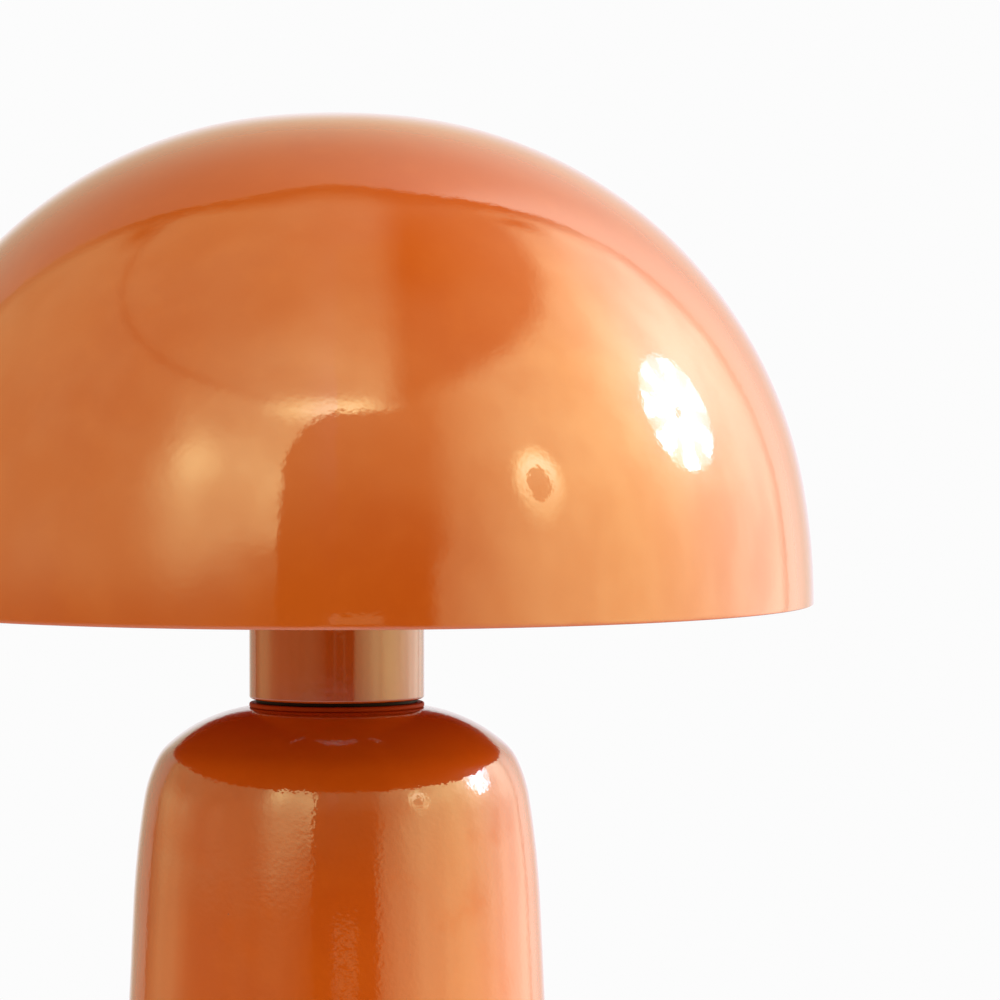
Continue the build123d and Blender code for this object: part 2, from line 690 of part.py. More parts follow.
def make_screw_shell():
    """Thin threaded shell that takes the bulb's cap, on a floor ring."""
    mean = THREAD_CREST_RADIUS + THREAD_RUNNING_CLEARANCE + THREAD_DEPTH / 2
    floor_top = insert_top + SCREW_SHELL_WALL
    thread_top = floor_top + HOLDER_THREAD_TURNS * THREAD_PITCH
    rim_top = thread_top + SCREW_SHELL_RIM
    outer = mean + SCREW_SHELL_WALL
    edges = [line_edge((SCREW_SHELL_FLOOR_HOLE, floor_top), (mean, floor_top))]
    edges += thread_edges(mean, floor_top, HOLDER_THREAD_TURNS)
    edges.append(line_edge((mean, thread_top), (mean, rim_top)))
    edges.append(line_edge((mean, rim_top), (outer, rim_top)))
    edges.append(line_edge((outer, rim_top), (outer, thread_top)))
    edges += thread_edges(outer, floor_top, HOLDER_THREAD_TURNS)
    edges.append(line_edge((outer, floor_top), (outer, insert_top)))
    edges.append(line_edge((outer, insert_top), (SCREW_SHELL_FLOOR_HOLE, insert_top)))
    edges.append(line_edge((SCREW_SHELL_FLOOR_HOLE, insert_top), (SCREW_SHELL_FLOOR_HOLE, floor_top)))
    return spun(edges)


def make_holder_contact():
    """Centre contact on the insert."""
    top = insert_top + CONTACT_HEIGHT
    base_top = insert_top + CONTACT_BASE_HEIGHT
    return ring(0, CONTACT_BASE_RADIUS, insert_top, base_top) + rod(CONTACT_POST_RADIUS, base_top, top)


# ---- bulb ---------------------------------------------------------------

bulb_cap_bore = THREAD_CREST_RADIUS - THREAD_DEPTH - BULB_CAP_WALL
housing_mouth = HOUSING_TOP_RADIUS - HOUSING_WALL - GLOBE_SEAT
globe_mouth = HOUSING_TOP_RADIUS - GLOBE_SEAT
globe_centre = housing_top + sqrt(GLOBE_RADIUS**2 - globe_mouth**2)
led_plate_bottom = housing_top - LED_PLATE_THICKNESS


def make_bulb_cap():
    """Threaded metal cap of the bulb."""
    mean = THREAD_CREST_RADIUS - THREAD_DEPTH / 2
    edges = [line_edge((bulb_cap_bore, bulb_cap_bottom), (mean, bulb_cap_bottom))]
    edges.append(line_edge((mean, bulb_cap_bottom), (mean, bulb_thread_bottom)))
    edges += thread_edges(mean, bulb_thread_bottom, BULB_THREAD_TURNS)
    edges.append(line_edge((mean, bulb_thread_top), (mean, housing_bottom)))
    edges.append(line_edge((mean, housing_bottom), (bulb_cap_bore, housing_bottom)))
    edges.append(line_edge((bulb_cap_bore, housing_bottom), (bulb_cap_bore, bulb_cap_bottom)))
    return spun(edges)


def make_bulb_insulator():
    """Insulating cone between the cap and the tip."""
    return turned(
        (0, insulator_bottom),
        (BULB_TIP_RADIUS, insulator_bottom),
        (INSULATOR_RADIUS, bulb_cap_bottom),
        (0, bulb_cap_bottom),
    )


def make_bulb_housing():
    """Plastic housing of the bulb, widening upwards, with a ledge for the plate of lights."""
    middle = (HOUSING_FOOT_RADIUS + HOUSING_TOP_RADIUS) / 2 + HOUSING_BULGE
    middle_level = (housing_bottom + housing_top) / 2
    ledge = housing_mouth - LED_LEDGE
    foot = (HOUSING_FOOT_RADIUS, housing_bottom)
    top = (HOUSING_TOP_RADIUS, housing_top)
    side = ThreePointArc(*[(r, 0, z) for r, z in (foot, (middle, middle_level), top)])
    corners = (
        top,
        (housing_mouth, housing_top),
        (housing_mouth, led_plate_bottom),
        (ledge, led_plate_bottom),
        (bulb_cap_bore, housing_bottom),
        foot,
    )
    edges = [side] + [line_edge(start, end) for start, end in zip(corners, corners[1:])]
    return spun(edges)


def make_led_plate():
    """Metal plate that carries the lights, in the housing's mouth."""
    return ring(0, housing_mouth - FIT_CLEARANCE, led_plate_bottom, housing_top)


def make_led_chips():
    """Lights on the plate, in a circle."""
    length, width, height = LED_SIZE
    centre = (Align.CENTER, Align.CENTER, Align.MIN)
    chip = Pos(LED_CIRCLE, 0, housing_top) * Box(width, length, height, align=centre)
    return around(chip, LED_COUNT)


def make_driver_board():
    """Upright circuit board inside the cap and the housing."""
    half_width = sqrt((bulb_cap_bore - FIT_CLEARANCE) ** 2 - (BOARD_THICKNESS / 2) ** 2)
    low = bulb_cap_bottom + BOARD_FOOT_GAP
    return block(2 * half_width, BOARD_THICKNESS, low, led_plate_bottom, -BOARD_THICKNESS / 2)


def make_bulb_globe():
    """Opal globe, cut flat where it sits on the housing."""
    outside = Sphere(GLOBE_RADIUS)
    inside = Sphere(GLOBE_RADIUS - GLOBE_WALL)
    below = Pos(0, 0, housing_top - globe_centre) * Box(
        4 * GLOBE_RADIUS, 4 * GLOBE_RADIUS, 4 * GLOBE_RADIUS, align=(Align.CENTER, Align.CENTER, Align.MAX)
    )
    return Pos(0, 0, globe_centre) * (outside - inside - below)


# ---- all the pieces -----------------------------------------------------

parts = {
    "shade_dome": make_shade_dome(),
    "carrier_hub": make_carrier_hub(),
    "carrier_arms": around(make_arm(), ARM_COUNT, FIRST_ARM),
    "carrier_tips": around(make_tip(), ARM_COUNT, FIRST_ARM),
    "arm_grub_screws": around(make_grub(), ARM_COUNT, FIRST_ARM),
    "shade_ring": make_shade_ring(),
    "body_shell": make_body_shell(),
    "cord_grommet": make_cord_grommet(),
    "collar_plate": make_collar_plate(),
    "gap_spacer": stem_washer(collar_top, SPACER_RADIUS, SPACER_THICKNESS),
    "neck_shell": make_neck_shell(),
    "neck_cap": make_neck_cap(),
    "neck_washer": stem_washer(neck_cap_top, WASHER_RADIUS, WASHER_THICKNESS),
    "neck_nut": hex_nut(neck_nut_bottom),
    "shoulder_plate": stem_washer(shoulder_plate_bottom, SHOULDER_PLATE_RADIUS, SHOULDER_PLATE_THICKNESS),
    "shoulder_nut": hex_nut(shoulder_nut_bottom),
    "stem_tube": ring(STEM_BORE_RADIUS, STEM_RADIUS, stem_bottom, cap_floor_top),
    "weld_ring": ring(weld_ring_radius - WELD_RING_WIDTH, weld_ring_radius, ballast_top, weld_ring_top),
    "ballast_weight": make_ballast(),
    "base_plate": make_base_plate(),
    "base_screws": around(base_screw(0), BASE_SCREW_COUNT, FIRST_BASE_SCREW),
    "floor_pad": ring(pad_radius - PAD_WIDTH, pad_radius, 0, PAD_THICKNESS),
    "lower_washer": stem_washer(lower_washer_bottom, WASHER_RADIUS, WASHER_THICKNESS),
    "lower_nut": hex_nut(lower_nut_bottom),
    "earth_tag": make_earth_tag(),
    "terminal_block": make_terminal_block(),
    "terminal_screws": make_terminal_screws(),
    "block_screws": make_block_screws(),
    "inner_lead": make_inner_lead(),
    "holder_cap": make_holder_cap(),
    "holder_insert": make_holder_insert(),
    "holder_skirt": make_holder_skirt(),
    "holder_screw_shell": make_screw_shell(),
    "holder_contact": make_holder_contact(),
    "bulb_tip": ring(0, BULB_TIP_RADIUS, bulb_bottom, insulator_bottom),
    "bulb_insulator": make_bulb_insulator(),
    "bulb_cap": make_bulb_cap(),
    "bulb_housing": make_bulb_housing(),
    "bulb_led_plate": make_led_plate(),
    "bulb_led_chips": make_led_chips(),
    "bulb_driver_board": make_driver_board(),
    "bulb_globe": make_bulb_globe(),
}

os.makedirs("parts", exist_ok=True)
for name, shape in parts.items():
    solid = Compound(children=shape) if isinstance(shape, list) else shape
    export_step(solid, f"parts/{name}.step")

print(f"overall height {lamp_top:.2f}, rim at {rim_level:.2f}, shade side arc {side_arc:.2f}")
print(f"cone slope {cone_slope:.3f}, base plate radius {base_plate_radius:.2f}, ballast radius {ballast_radius:.2f}")
print(f"lead radius {LEAD_RADIUS:.1f}, its bend {LEAD_BEND:.1f}, arm bend {ARM_BEND:.1f}")
print(f"cord inlet at y {grommet_wall_radius:.3f}, z {inlet_level:.3f}, normal {grommet_normal}")
print(f"bulb top {globe_centre + GLOBE_RADIUS:.2f}, bulb lead per turn {THREAD_PITCH}")
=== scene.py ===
import json
from math import acos, atan2, cos, degrees, hypot, pi, radians, sin, sqrt, tan

import bmesh
import bpy
from mathutils import Matrix, Vector


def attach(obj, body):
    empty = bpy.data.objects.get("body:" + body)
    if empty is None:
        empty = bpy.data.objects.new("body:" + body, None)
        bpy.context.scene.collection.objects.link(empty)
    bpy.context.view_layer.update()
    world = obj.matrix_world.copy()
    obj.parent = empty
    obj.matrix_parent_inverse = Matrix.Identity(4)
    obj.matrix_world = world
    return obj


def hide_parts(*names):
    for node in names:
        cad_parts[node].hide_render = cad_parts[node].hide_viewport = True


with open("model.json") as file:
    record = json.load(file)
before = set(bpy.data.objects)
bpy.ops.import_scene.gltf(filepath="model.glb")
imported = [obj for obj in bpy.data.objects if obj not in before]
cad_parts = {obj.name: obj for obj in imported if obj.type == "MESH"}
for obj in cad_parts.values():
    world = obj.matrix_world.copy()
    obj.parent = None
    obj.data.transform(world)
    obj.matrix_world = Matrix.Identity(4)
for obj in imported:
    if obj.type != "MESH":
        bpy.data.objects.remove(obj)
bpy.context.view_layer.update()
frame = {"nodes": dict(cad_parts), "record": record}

MM = 0.001
SKIN = 0.08  # millimetres that each new surface stays inside the solid it stands for


# ---- node expressions ---------------------------------------------------


class Value:
    """A socket of a node tree, with arithmetic that adds the nodes for it."""

    def __init__(self, tree, socket):
        self.tree = tree
        self.socket = socket

    def math(self, operation, *others):
        node = self.tree.nodes.new("ShaderNodeMath")
        node.operation = operation
        for place, value in enumerate((self, *others)):
            put(self.tree, value, node.inputs[place])
        return Value(self.tree, node.outputs[0])

    def __add__(self, other):
        return self.math("ADD", other)

    def __sub__(self, other):
        return self.math("SUBTRACT", other)

    def __mul__(self, other):
        return self.math("MULTIPLY", other)

    def __truediv__(self, other):
        return self.math("DIVIDE", other)

    def __pow__(self, other):
        return self.math("POWER", other)

    def __neg__(self):
        return self * -1.0

    def step(self, start, end, low=0.0, high=1.0):
        """Smooth step from low, where the value is start, to high, where it is end."""
        node = self.tree.nodes.new("ShaderNodeMapRange")
        node.interpolation_type = "SMOOTHSTEP"
        put(self.tree, self, node.inputs["Value"])
        for name, value in (("From Min", start), ("From Max", end), ("To Min", low), ("To Max", high)):
            put(self.tree, value, node.inputs[name])
        return Value(self.tree, node.outputs[0])

    def bell(self, width):
        """Bell curve of height 1 about 0."""
        ratio = self / width
        return (-(ratio * ratio)).math("EXPONENT")


def put(tree, value, socket):
    """Links a Value to a socket, or sets the socket to a plain number or colour."""
    if isinstance(value, Value):
        tree.links.new(value.socket, socket)
    else:
        socket.default_value = value


def blend_values(low, high, share):
    """low where share is 0, high where it is 1; low is a Value."""
    return low * (share * -1.0 + 1.0) + share * high


# ---- studio light -------------------------------------------------------

DIFFUSER_BLUE = 0.46
BACKDROP_BLUE = 0.68
FLOOR_LIGHT = 0.62
WARM_TINT, PALE_TINT = (1.0, 0.97), (1.0, 0.965)  # red and green
SOFTBOX_TURN, SOFTBOX_RISE = 76.0, 24.0
SOFTBOX_WIDTH, SOFTBOX_HEIGHT = 12.8, 10.3
RING_TURN, RING_RISE = 128.2, 20.0


def studio_world():
    """Soft studio all round: backdrop behind, diffusers at both sides, a dark gap at the camera.

    All angles are in degrees. turn is 0 behind the lamp and grows to the right; aside is 0 at the camera and
    grows to the left; rise is the height over the horizon.
    """
    world = bpy.data.worlds.new("studio")
    bpy.context.scene.world = world
    world.use_nodes = True
    tree = world.node_tree
    tree.nodes.clear()
    direction = tree.nodes.new("ShaderNodeTexCoord")
    split = tree.nodes.new("ShaderNodeSeparateXYZ")
    tree.links.new(direction.outputs["Generated"], split.inputs[0])
    x, y, z = (Value(tree, socket) for socket in split.outputs)
    turn = x.math("ARCTAN2", y) * degrees(1)
    rise = z.math("ARCSINE") * degrees(1)
    above = rise.math("MAXIMUM", 0.0)
    aside = (turn + 360.0).math("WRAP", 0.0, 360.0) - 180.0
    wall_top = aside.math("ABSOLUTE") * 0.12 + aside.step(0.0, -60.0, 41.0, 43.0)
    to_top = rise - wall_top

    # left wall, ceiling and the lamp that stands on that side
    left_lamp = aside.step(54.0, 34.0) * (rise - 24.0).bell(17.0) * to_top.step(1.5, -1.5, 0.4, 1.04)
    crescent = (rise - 41.5).bell(2.6) * aside.step(-16.0, -6.0) * aside.step(26.0, 4.0)
    left_lamp = left_lamp * rise.step(-1.0, 10.0) + crescent * 2.3
    blob = (((aside - 38.0) ** 2.0 + (rise - 27.0) ** 2.0).math("SQRT")).bell(5.5)
    beside_dark = aside.step(36.0, 12.0) * rise.step(13.0, 8.0)
    crease = to_top.bell(1.0) * aside.step(15.0, 60.0, 0.1, 0.3)
    left = (aside.bell(32.0) * (rise - 46.0).bell(22.0)) * 0.62 + 0.50
    hot = (aside - 20.0).bell(10.0) * (rise - 38.0).bell(6.0) * -0.28 + 1.0
    left = (left + left_lamp * hot + blob * 0.7) * rise.step(-3.0, 7.0, 0.45, 1.0)
    left = left + (turn + 68.0).bell(15.0) * rise.step(16.0, 3.0) * 0.45
    left = left * (beside_dark * -0.6 + 1.0) * (crease * -1.0 + 1.0) * rise.step(2.0, 10.0, 0.95, 1.06)

    # right side: a dark strip of ceiling over a bright window wall
    right_share = (x + y * 0.1).step(0.09, 0.22)
    right = rise.step(80.0, 60.0, 0.05, 0.33) + x.step(0.2, 0.6, 0.0, 0.12)
    light = blend_values(left, 0.0, right_share) + right * right_share
    window = turn.step(37.0, 43.0) * turn.step(166.0, 122.0) * to_top.step(3.0, -3.5)
    strength = turn.step(38.0, 62.0, 1.6, 1.85) + turn.step(88.0, 150.0, 0.0, -0.8)
    height = ((rise - 26.0).bell(16.0) * 0.30 + 0.75) * rise.step(66.0, 42.0, 0.3, 1.0)
    glow = (turn - 76.0).bell(22.0) * (rise - 29.0).bell(17.0) * 1.1
    light = light + window * (strength * height + glow)

    # round softbox with its struts, and a ring lamp
    across = (turn - SOFTBOX_TURN) / SOFTBOX_WIDTH
    up = (rise - SOFTBOX_RISE) / SOFTBOX_HEIGHT
    reach = (across * across + up * up).math("SQRT")
    spoke = (across.math("ARCTAN2", up) * 7.0 + 0.6).math("SINE")
    petals = spoke.step(-0.7, 0.0) * (up * 0.6 - across * 0.8).step(0.5, -0.3, 0.35, 1.0)
    softbox = reach.step(1.0, 0.9) * (petals * 3.0 + reach.bell(0.45) * 3.5 + 1.5)
    softbox = softbox * reach.step(0.05, 0.14)
    ring_reach = (((turn - RING_TURN) * 0.94) ** 2.0 + ((rise - RING_RISE) * 0.8) ** 2.0).math("SQRT")
    ring = ring_reach.step(2.6, 3.6) * ring_reach.step(7.8, 3.6) * rise.step(12.0, 26.0, 1.0, 2.6)
    light = light * ring_reach.step(3.4, 2.6, 1.0, 0.92) + softbox + ring

    # dark shape round the camera, with a round upper corner and a pale stand in it
    sharp_edge = rise.step(18.0, 8.0, 14.0, 17.0) + rise.step(-1.5, -4.0, 0.0, 14.0)
    beyond, over = (aside + 2.0).math("MAXIMUM", 0.0), (rise - 24.0).math("MAXIMUM", 0.0)
    corner = (beyond / 16.0) ** 2.0 + (over / 17.0) ** 2.0
    soft_edge = aside.step(rise.step(11.0, 6.0, -31.0, -25.5), -20.5)
    blur = rise.step(9.0, 20.0, 0.6, 1.6)
    dark = (aside - sharp_edge).step(blur, -blur) * corner.step(1.15, 0.9) * soft_edge
    stand_edge = (aside - 2.5).bell(1.5) + (aside + 10.0).bell(1.5)
    stand = aside.step(-12.0, -9.5) * aside.step(3.0, 1.0) * rise.step(-3.2, -2.2) * rise.step(-0.3, -0.9)
    stand = stand * 0.24 + stand_edge * rise.step(-2.2, -3.2) * 0.11
    camera_light = above.step(0.0, 38.0, 0.015, 0.42) + stand
    light = blend_values(light, 0.0, dark) + camera_light * dark

    # backdrop arch behind the lamp, white straight ahead
    arch = (((turn + 2.0).math("ABSOLUTE") / 44.0) ** 4.5 + (above / 67.0) ** 4.5) ** (1 / 4.5)
    rim = arch.step(0.97, 1.0) * arch.step(1.13, 1.01) * above.step(38.0, 56.0, 0.38, 0.9)
    left_corner = (turn + 50.0).bell(6.5) * (rise - 54.0).bell(3.0)
    right_corner = (turn - 46.0).bell(3.0) * (rise - 55.0).bell(4.0)
    light = light * (rim * -1.0 + 1.0) * ((left_corner + right_corner) * -0.85 + 1.0)
    inside = arch.step(1.0, 0.97)
    fade = rise.step(20.0, 52.0) * turn.step(40.0, 15.0)
    backdrop = turn.step(-30.0, 24.0, 0.46, 0.88) + turn.step(24.0, 40.0, 0.0, 0.6)
    backdrop = backdrop * (fade * -0.42 + 1.0)
    ahead = ((turn * turn + rise * rise).math("SQRT")).step(26.0, 8.0)
    backdrop_blue = ahead * (0.97 - BACKDROP_BLUE) + turn.step(0.0, 20.0, BACKDROP_BLUE, BACKDROP_BLUE + 0.12)
    backdrop = blend_values(backdrop, 0.97, ahead)

    below = rise.step(-5.2, -14.0)
    warm_blue = light.step(2.2, 8.0) * (0.95 - DIFFUSER_BLUE) + DIFFUSER_BLUE
    cooler = turn.step(110.0, 50.0, 0.0, 0.3) * x.step(-0.2, 0.2) * rise.step(58.0, 36.0, 0.3, 1.0)
    warm_blue = warm_blue + cooler
    uneven = tree.nodes.new("ShaderNodeTexNoise")
    tree.links.new(direction.outputs["Generated"], uneven.inputs["Vector"])
    uneven.inputs["Scale"].default_value = 4.5
    uneven.inputs["Detail"].default_value = 3.0
    light = light * Value(tree, uneven.outputs["Fac"]).step(0.32, 0.68, 0.88, 1.1)
    colour = tree.nodes.new("ShaderNodeCombineColor")
    warm_tint, pale_tint = (*WARM_TINT, warm_blue), (*PALE_TINT, backdrop_blue)
    for channel, (warm, pale) in enumerate(zip(warm_tint, pale_tint)):
        mixed = blend_values(light * warm, backdrop * pale, inside)
        put(tree, blend_values(mixed, FLOOR_LIGHT, below), colour.inputs[channel])
    background = tree.nodes.new("ShaderNodeBackground")
    tree.links.new(colour.outputs[0], background.inputs["Color"])
    result = tree.nodes.new("ShaderNodeOutputWorld")
    tree.links.new(background.outputs[0], result.inputs["Surface"])


FILL_COLOUR = (1.0, 0.97, 0.93)
FILLS = (  # name, place, height that it is aimed at, diameter, watts
    ("high_fill", (-0.2, -2.8, 4.1), 0.8, 2.4, 18.0),
    ("top_fill", (0.2, 0.4, 5.2), 0.8, 2.4, 17.0),
    ("left_fill", (-3.6, -0.6, 0.4), 0.5, 2.0, 24.0),
)


def area_light(name, place, aim_level, size, power):
    """Soft area light that adds to the diffuse light alone."""
    data = bpy.data.lights.new(name, "AREA")
    data.shape = "DISK"
    data.size = size
    data.energy = power
    data.color = FILL_COLOUR
    light = bpy.data.objects.new(name, data)
    bpy.context.scene.collection.objects.link(light)
    light.location = place
    light.rotation_euler = (Vector((0, 0, aim_level)) - Vector(place)).to_track_quat("-Z", "Y").to_euler()
    light.visible_glossy = False


# ---- stage --------------------------------------------------------------

PAPER = 0.973
BOWL_RADIUS = 30.0
FLOOR_RADIUS = 1.6
FLOOR_FADE = (0.35, 1.5)  # distances from the lamp between which the floor fades out
FLOOR_PAINT = (0.71, 0.765, 0.94)  # bluish, so that the warm light leaves it a neutral grey
FLOOR_LIFT = (0.01, 0.02, 0.13)


def link_object(name, mesh):
    piece = bpy.data.objects.new(name, mesh)
    bpy.context.scene.collection.objects.link(piece)
    return piece


def new_material(name):
    """Empty node material; gives its tree and its output node."""
    material = bpy.data.materials.new(name)
    material.use_nodes = True
    tree = material.node_tree
    tree.nodes.clear()
    return material, tree, tree.nodes.new("ShaderNodeOutputMaterial")


def one_sided(tree, shader):
    """Lets light and sight through from behind the surface."""
    geometry = tree.nodes.new("ShaderNodeNewGeometry")
    clear = tree.nodes.new("ShaderNodeBsdfTransparent")
    mix = tree.nodes.new("ShaderNodeMixShader")
    tree.links.new(geometry.outputs["Backfacing"], mix.inputs[0])
    tree.links.new(shader.outputs[0], mix.inputs[1])
    tree.links.new(clear.outputs[0], mix.inputs[2])
    return mix


def make_stage():
    """Pale floor that fades into a white bowl all round."""
    paper, tree, result = new_material("backdrop_white")
    glow = tree.nodes.new("ShaderNodeEmission")
    glow.inputs["Color"].default_value = (PAPER, PAPER, PAPER, 1)
    tree.links.new(one_sided(tree, glow).outputs[0], result.inputs["Surface"])
    mesh = bpy.data.meshes.new("backdrop")
    shape = bmesh.new()
    bmesh.ops.create_uvsphere(shape, u_segments=64, v_segments=32, radius=BOWL_RADIUS)
    bmesh.ops.reverse_faces(shape, faces=shape.faces)
    shape.to_mesh(mesh)
    shape.free()
    mesh.materials.append(paper)
    bowl = link_object("backdrop", mesh)
    bowl.visible_diffuse = False
    bowl.visible_glossy = False
    bowl.visible_transmission = False
    bowl.visible_shadow = False

    floor_material, tree, result = new_material("floor_pale")
    coordinates = tree.nodes.new("ShaderNodeTexCoord")
    length = tree.nodes.new("ShaderNodeVectorMath")
    length.operation = "LENGTH"
    tree.links.new(coordinates.outputs["Object"], length.inputs[0])
    distance = Value(tree, length.outputs["Value"])
    diffuse = tree.nodes.new("ShaderNodeBsdfDiffuse")
    diffuse.inputs["Color"].default_value = (*FLOOR_PAINT, 1)
    clear = tree.nodes.new("ShaderNodeBsdfTransparent")
    mix = tree.nodes.new("ShaderNodeMixShader")
    put(tree, distance.step(*FLOOR_FADE), mix.inputs[0])
    lift = tree.nodes.new("ShaderNodeEmission")
    lift.inputs["Color"].default_value = (*FLOOR_LIFT, 1)
    both = tree.nodes.new("ShaderNodeAddShader")
    tree.links.new(diffuse.outputs[0], both.inputs[0])
    tree.links.new(lift.outputs[0], both.inputs[1])
    tree.links.new(both.outputs[0], mix.inputs[1])
    tree.links.new(clear.outputs[0], mix.inputs[2])
    tree.links.new(one_sided(tree, mix).outputs[0], result.inputs["Surface"])
    mesh = bpy.data.meshes.new("floor")
    shape = bmesh.new()
    bmesh.ops.create_circle(shape, cap_ends=True, segments=128, radius=FLOOR_RADIUS)
    shape.to_mesh(mesh)
    shape.free()
    mesh.materials.append(floor_material)
    floor = link_object("floor", mesh)


# ---- camera -------------------------------------------------------------

CAMERA_PLACE = (0, -3.144, 0.91214)
CAMERA_DIP, CAMERA_YAW = 2.101, -1.561
FOCAL_LENGTH, SENSOR_WIDTH = 216, 36


def make_camera():
    """Camera at the photograph's angle: slightly above the rim, with a long lens."""
    data = bpy.data.cameras.new("camera")
    data.lens = FOCAL_LENGTH
    data.sensor_width = SENSOR_WIDTH
    data.clip_end = 100
    camera = bpy.data.objects.new("camera", data)
    bpy.context.scene.collection.objects.link(camera)
    camera.location = CAMERA_PLACE
    camera.rotation_euler = (radians(90 - CAMERA_DIP), 0, radians(CAMERA_YAW))
    bpy.context.scene.camera = camera


# ---- mesh helpers -------------------------------------------------------

SHARP_ANGLE = 35.0


def on_arc(centre, radius, slope):
    """Point of an arc where it falls at that slope, in radians."""
    return (centre[0] + radius * sin(slope), centre[1] + radius * cos(slope))


def arc_points(centre, radius, start, end, count):
    """Points along an arc between two slopes in degrees, the last one left out."""
    slopes = [radians(start + (end - start) * i / count) for i in range(count)]
    return [on_arc(centre, radius, slope) for slope in slopes]


def lathe(name, outline, segments, closed=True, vary=None):
    """Surface of revolution about Z from (radius, height) points in mm.

    vary(radius, height, turn) gives the radius at one turn of the way round.
    """
    shape = bmesh.new()
    turns = [2 * pi * i / segments for i in range(segments)]
    rows = []
    for radius, height in outline:
        if radius < 1e-6:
            rows.append([shape.verts.new((0, 0, height * MM))])
            continue
        reach = [(vary(radius, height, t) if vary else radius) * MM for t in turns]
        rows.append([shape.verts.new((r * cos(t), r * sin(t), height * MM)) for r, t in zip(reach, turns)])
    following = rows[1:] + rows[:1] if closed else rows[1:]
    for first, second in zip(rows, following):
        if len(first) == 1 and len(second) == 1:
            continue
        for i in range(segments):
            j = (i + 1) % segments
            near, far = first[i % len(first)], first[j % len(first)]
            corners = (near, second[i % len(second)], second[j % len(second)], far)
            shape.faces.new(list(dict.fromkeys(corners)))
    bmesh.ops.recalc_face_normals(shape, faces=shape.faces)
    return to_piece(name, shape)


def to_piece(name, shape):
    """Object from a bmesh, smooth but for its sharp edges."""
    mesh = bpy.data.meshes.new(name)
    shape.to_mesh(mesh)
    shape.free()
    mesh.shade_smooth()
    mesh.set_sharp_from_angle(angle=radians(SHARP_ANGLE))
    return link_object(name, mesh)


def rounded_outline(corners, radius, steps=4):
    """Closed outline with each corner rounded; a corner may carry its own radius as a third number."""
    points = []
    count = len(corners)
    for i, corner in enumerate(corners):
        here = Vector(corner[:2])
        before = Vector(corners[i - 1][:2]) - here
        after = Vector(corners[(i + 1) % count][:2]) - here
        bend = corner[2] if len(corner) > 2 else radius
        bend = min(bend, before.length * 0.45, after.length * 0.45)
        if bend < 1e-4:
            points.append(tuple(here))
            continue
        start = here + before.normalized() * bend
        end = here + after.normalized() * bend
        for k in range(steps + 1):
            t = k / steps
            point = start * (1 - t) ** 2 + here * 2 * t * (1 - t) + end * t * t
            points.append(tuple(point))
    return points


def divided(outline, longest):
    """Closed outline with its long runs cut into shorter ones."""
    points = []
    for start, end in zip(outline, outline[1:] + outline[:1]):
        count = max(1, int(hypot(end[0] - start[0], end[1] - start[1]) / longest + 0.999))
        points += [tuple(s + (e - s) * k / count for s, e in zip(start, end)) for k in range(count)]
    return points


def within(value, low, high, fade):
    """1 between low and high, falling smoothly to 0 over fade outside them."""
    share = min(1.0, max(0.0, 1.0 - max(low - value, value - high) / fade))
    return share * share * (3 - 2 * share)


def copies(piece, matrices):
    """Replaces the piece's mesh by several placed copies of it."""
    shape = bmesh.new()
    for matrix in matrices:
        start = len(shape.verts)
        shape.from_mesh(piece.data)
        shape.verts.ensure_lookup_table()
        bmesh.ops.transform(shape, matrix=matrix, verts=shape.verts[start:])
    shape.to_mesh(piece.data)
    shape.free()


def dress(piece, body, slot, material, *nodes):
    """Places a piece: its body, its material and the nodes that it stands for; the record slot is not used.
    """
    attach(piece, body)
    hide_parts(*nodes)
    piece.data.materials.append(material)


# ---- materials ----------------------------------------------------------


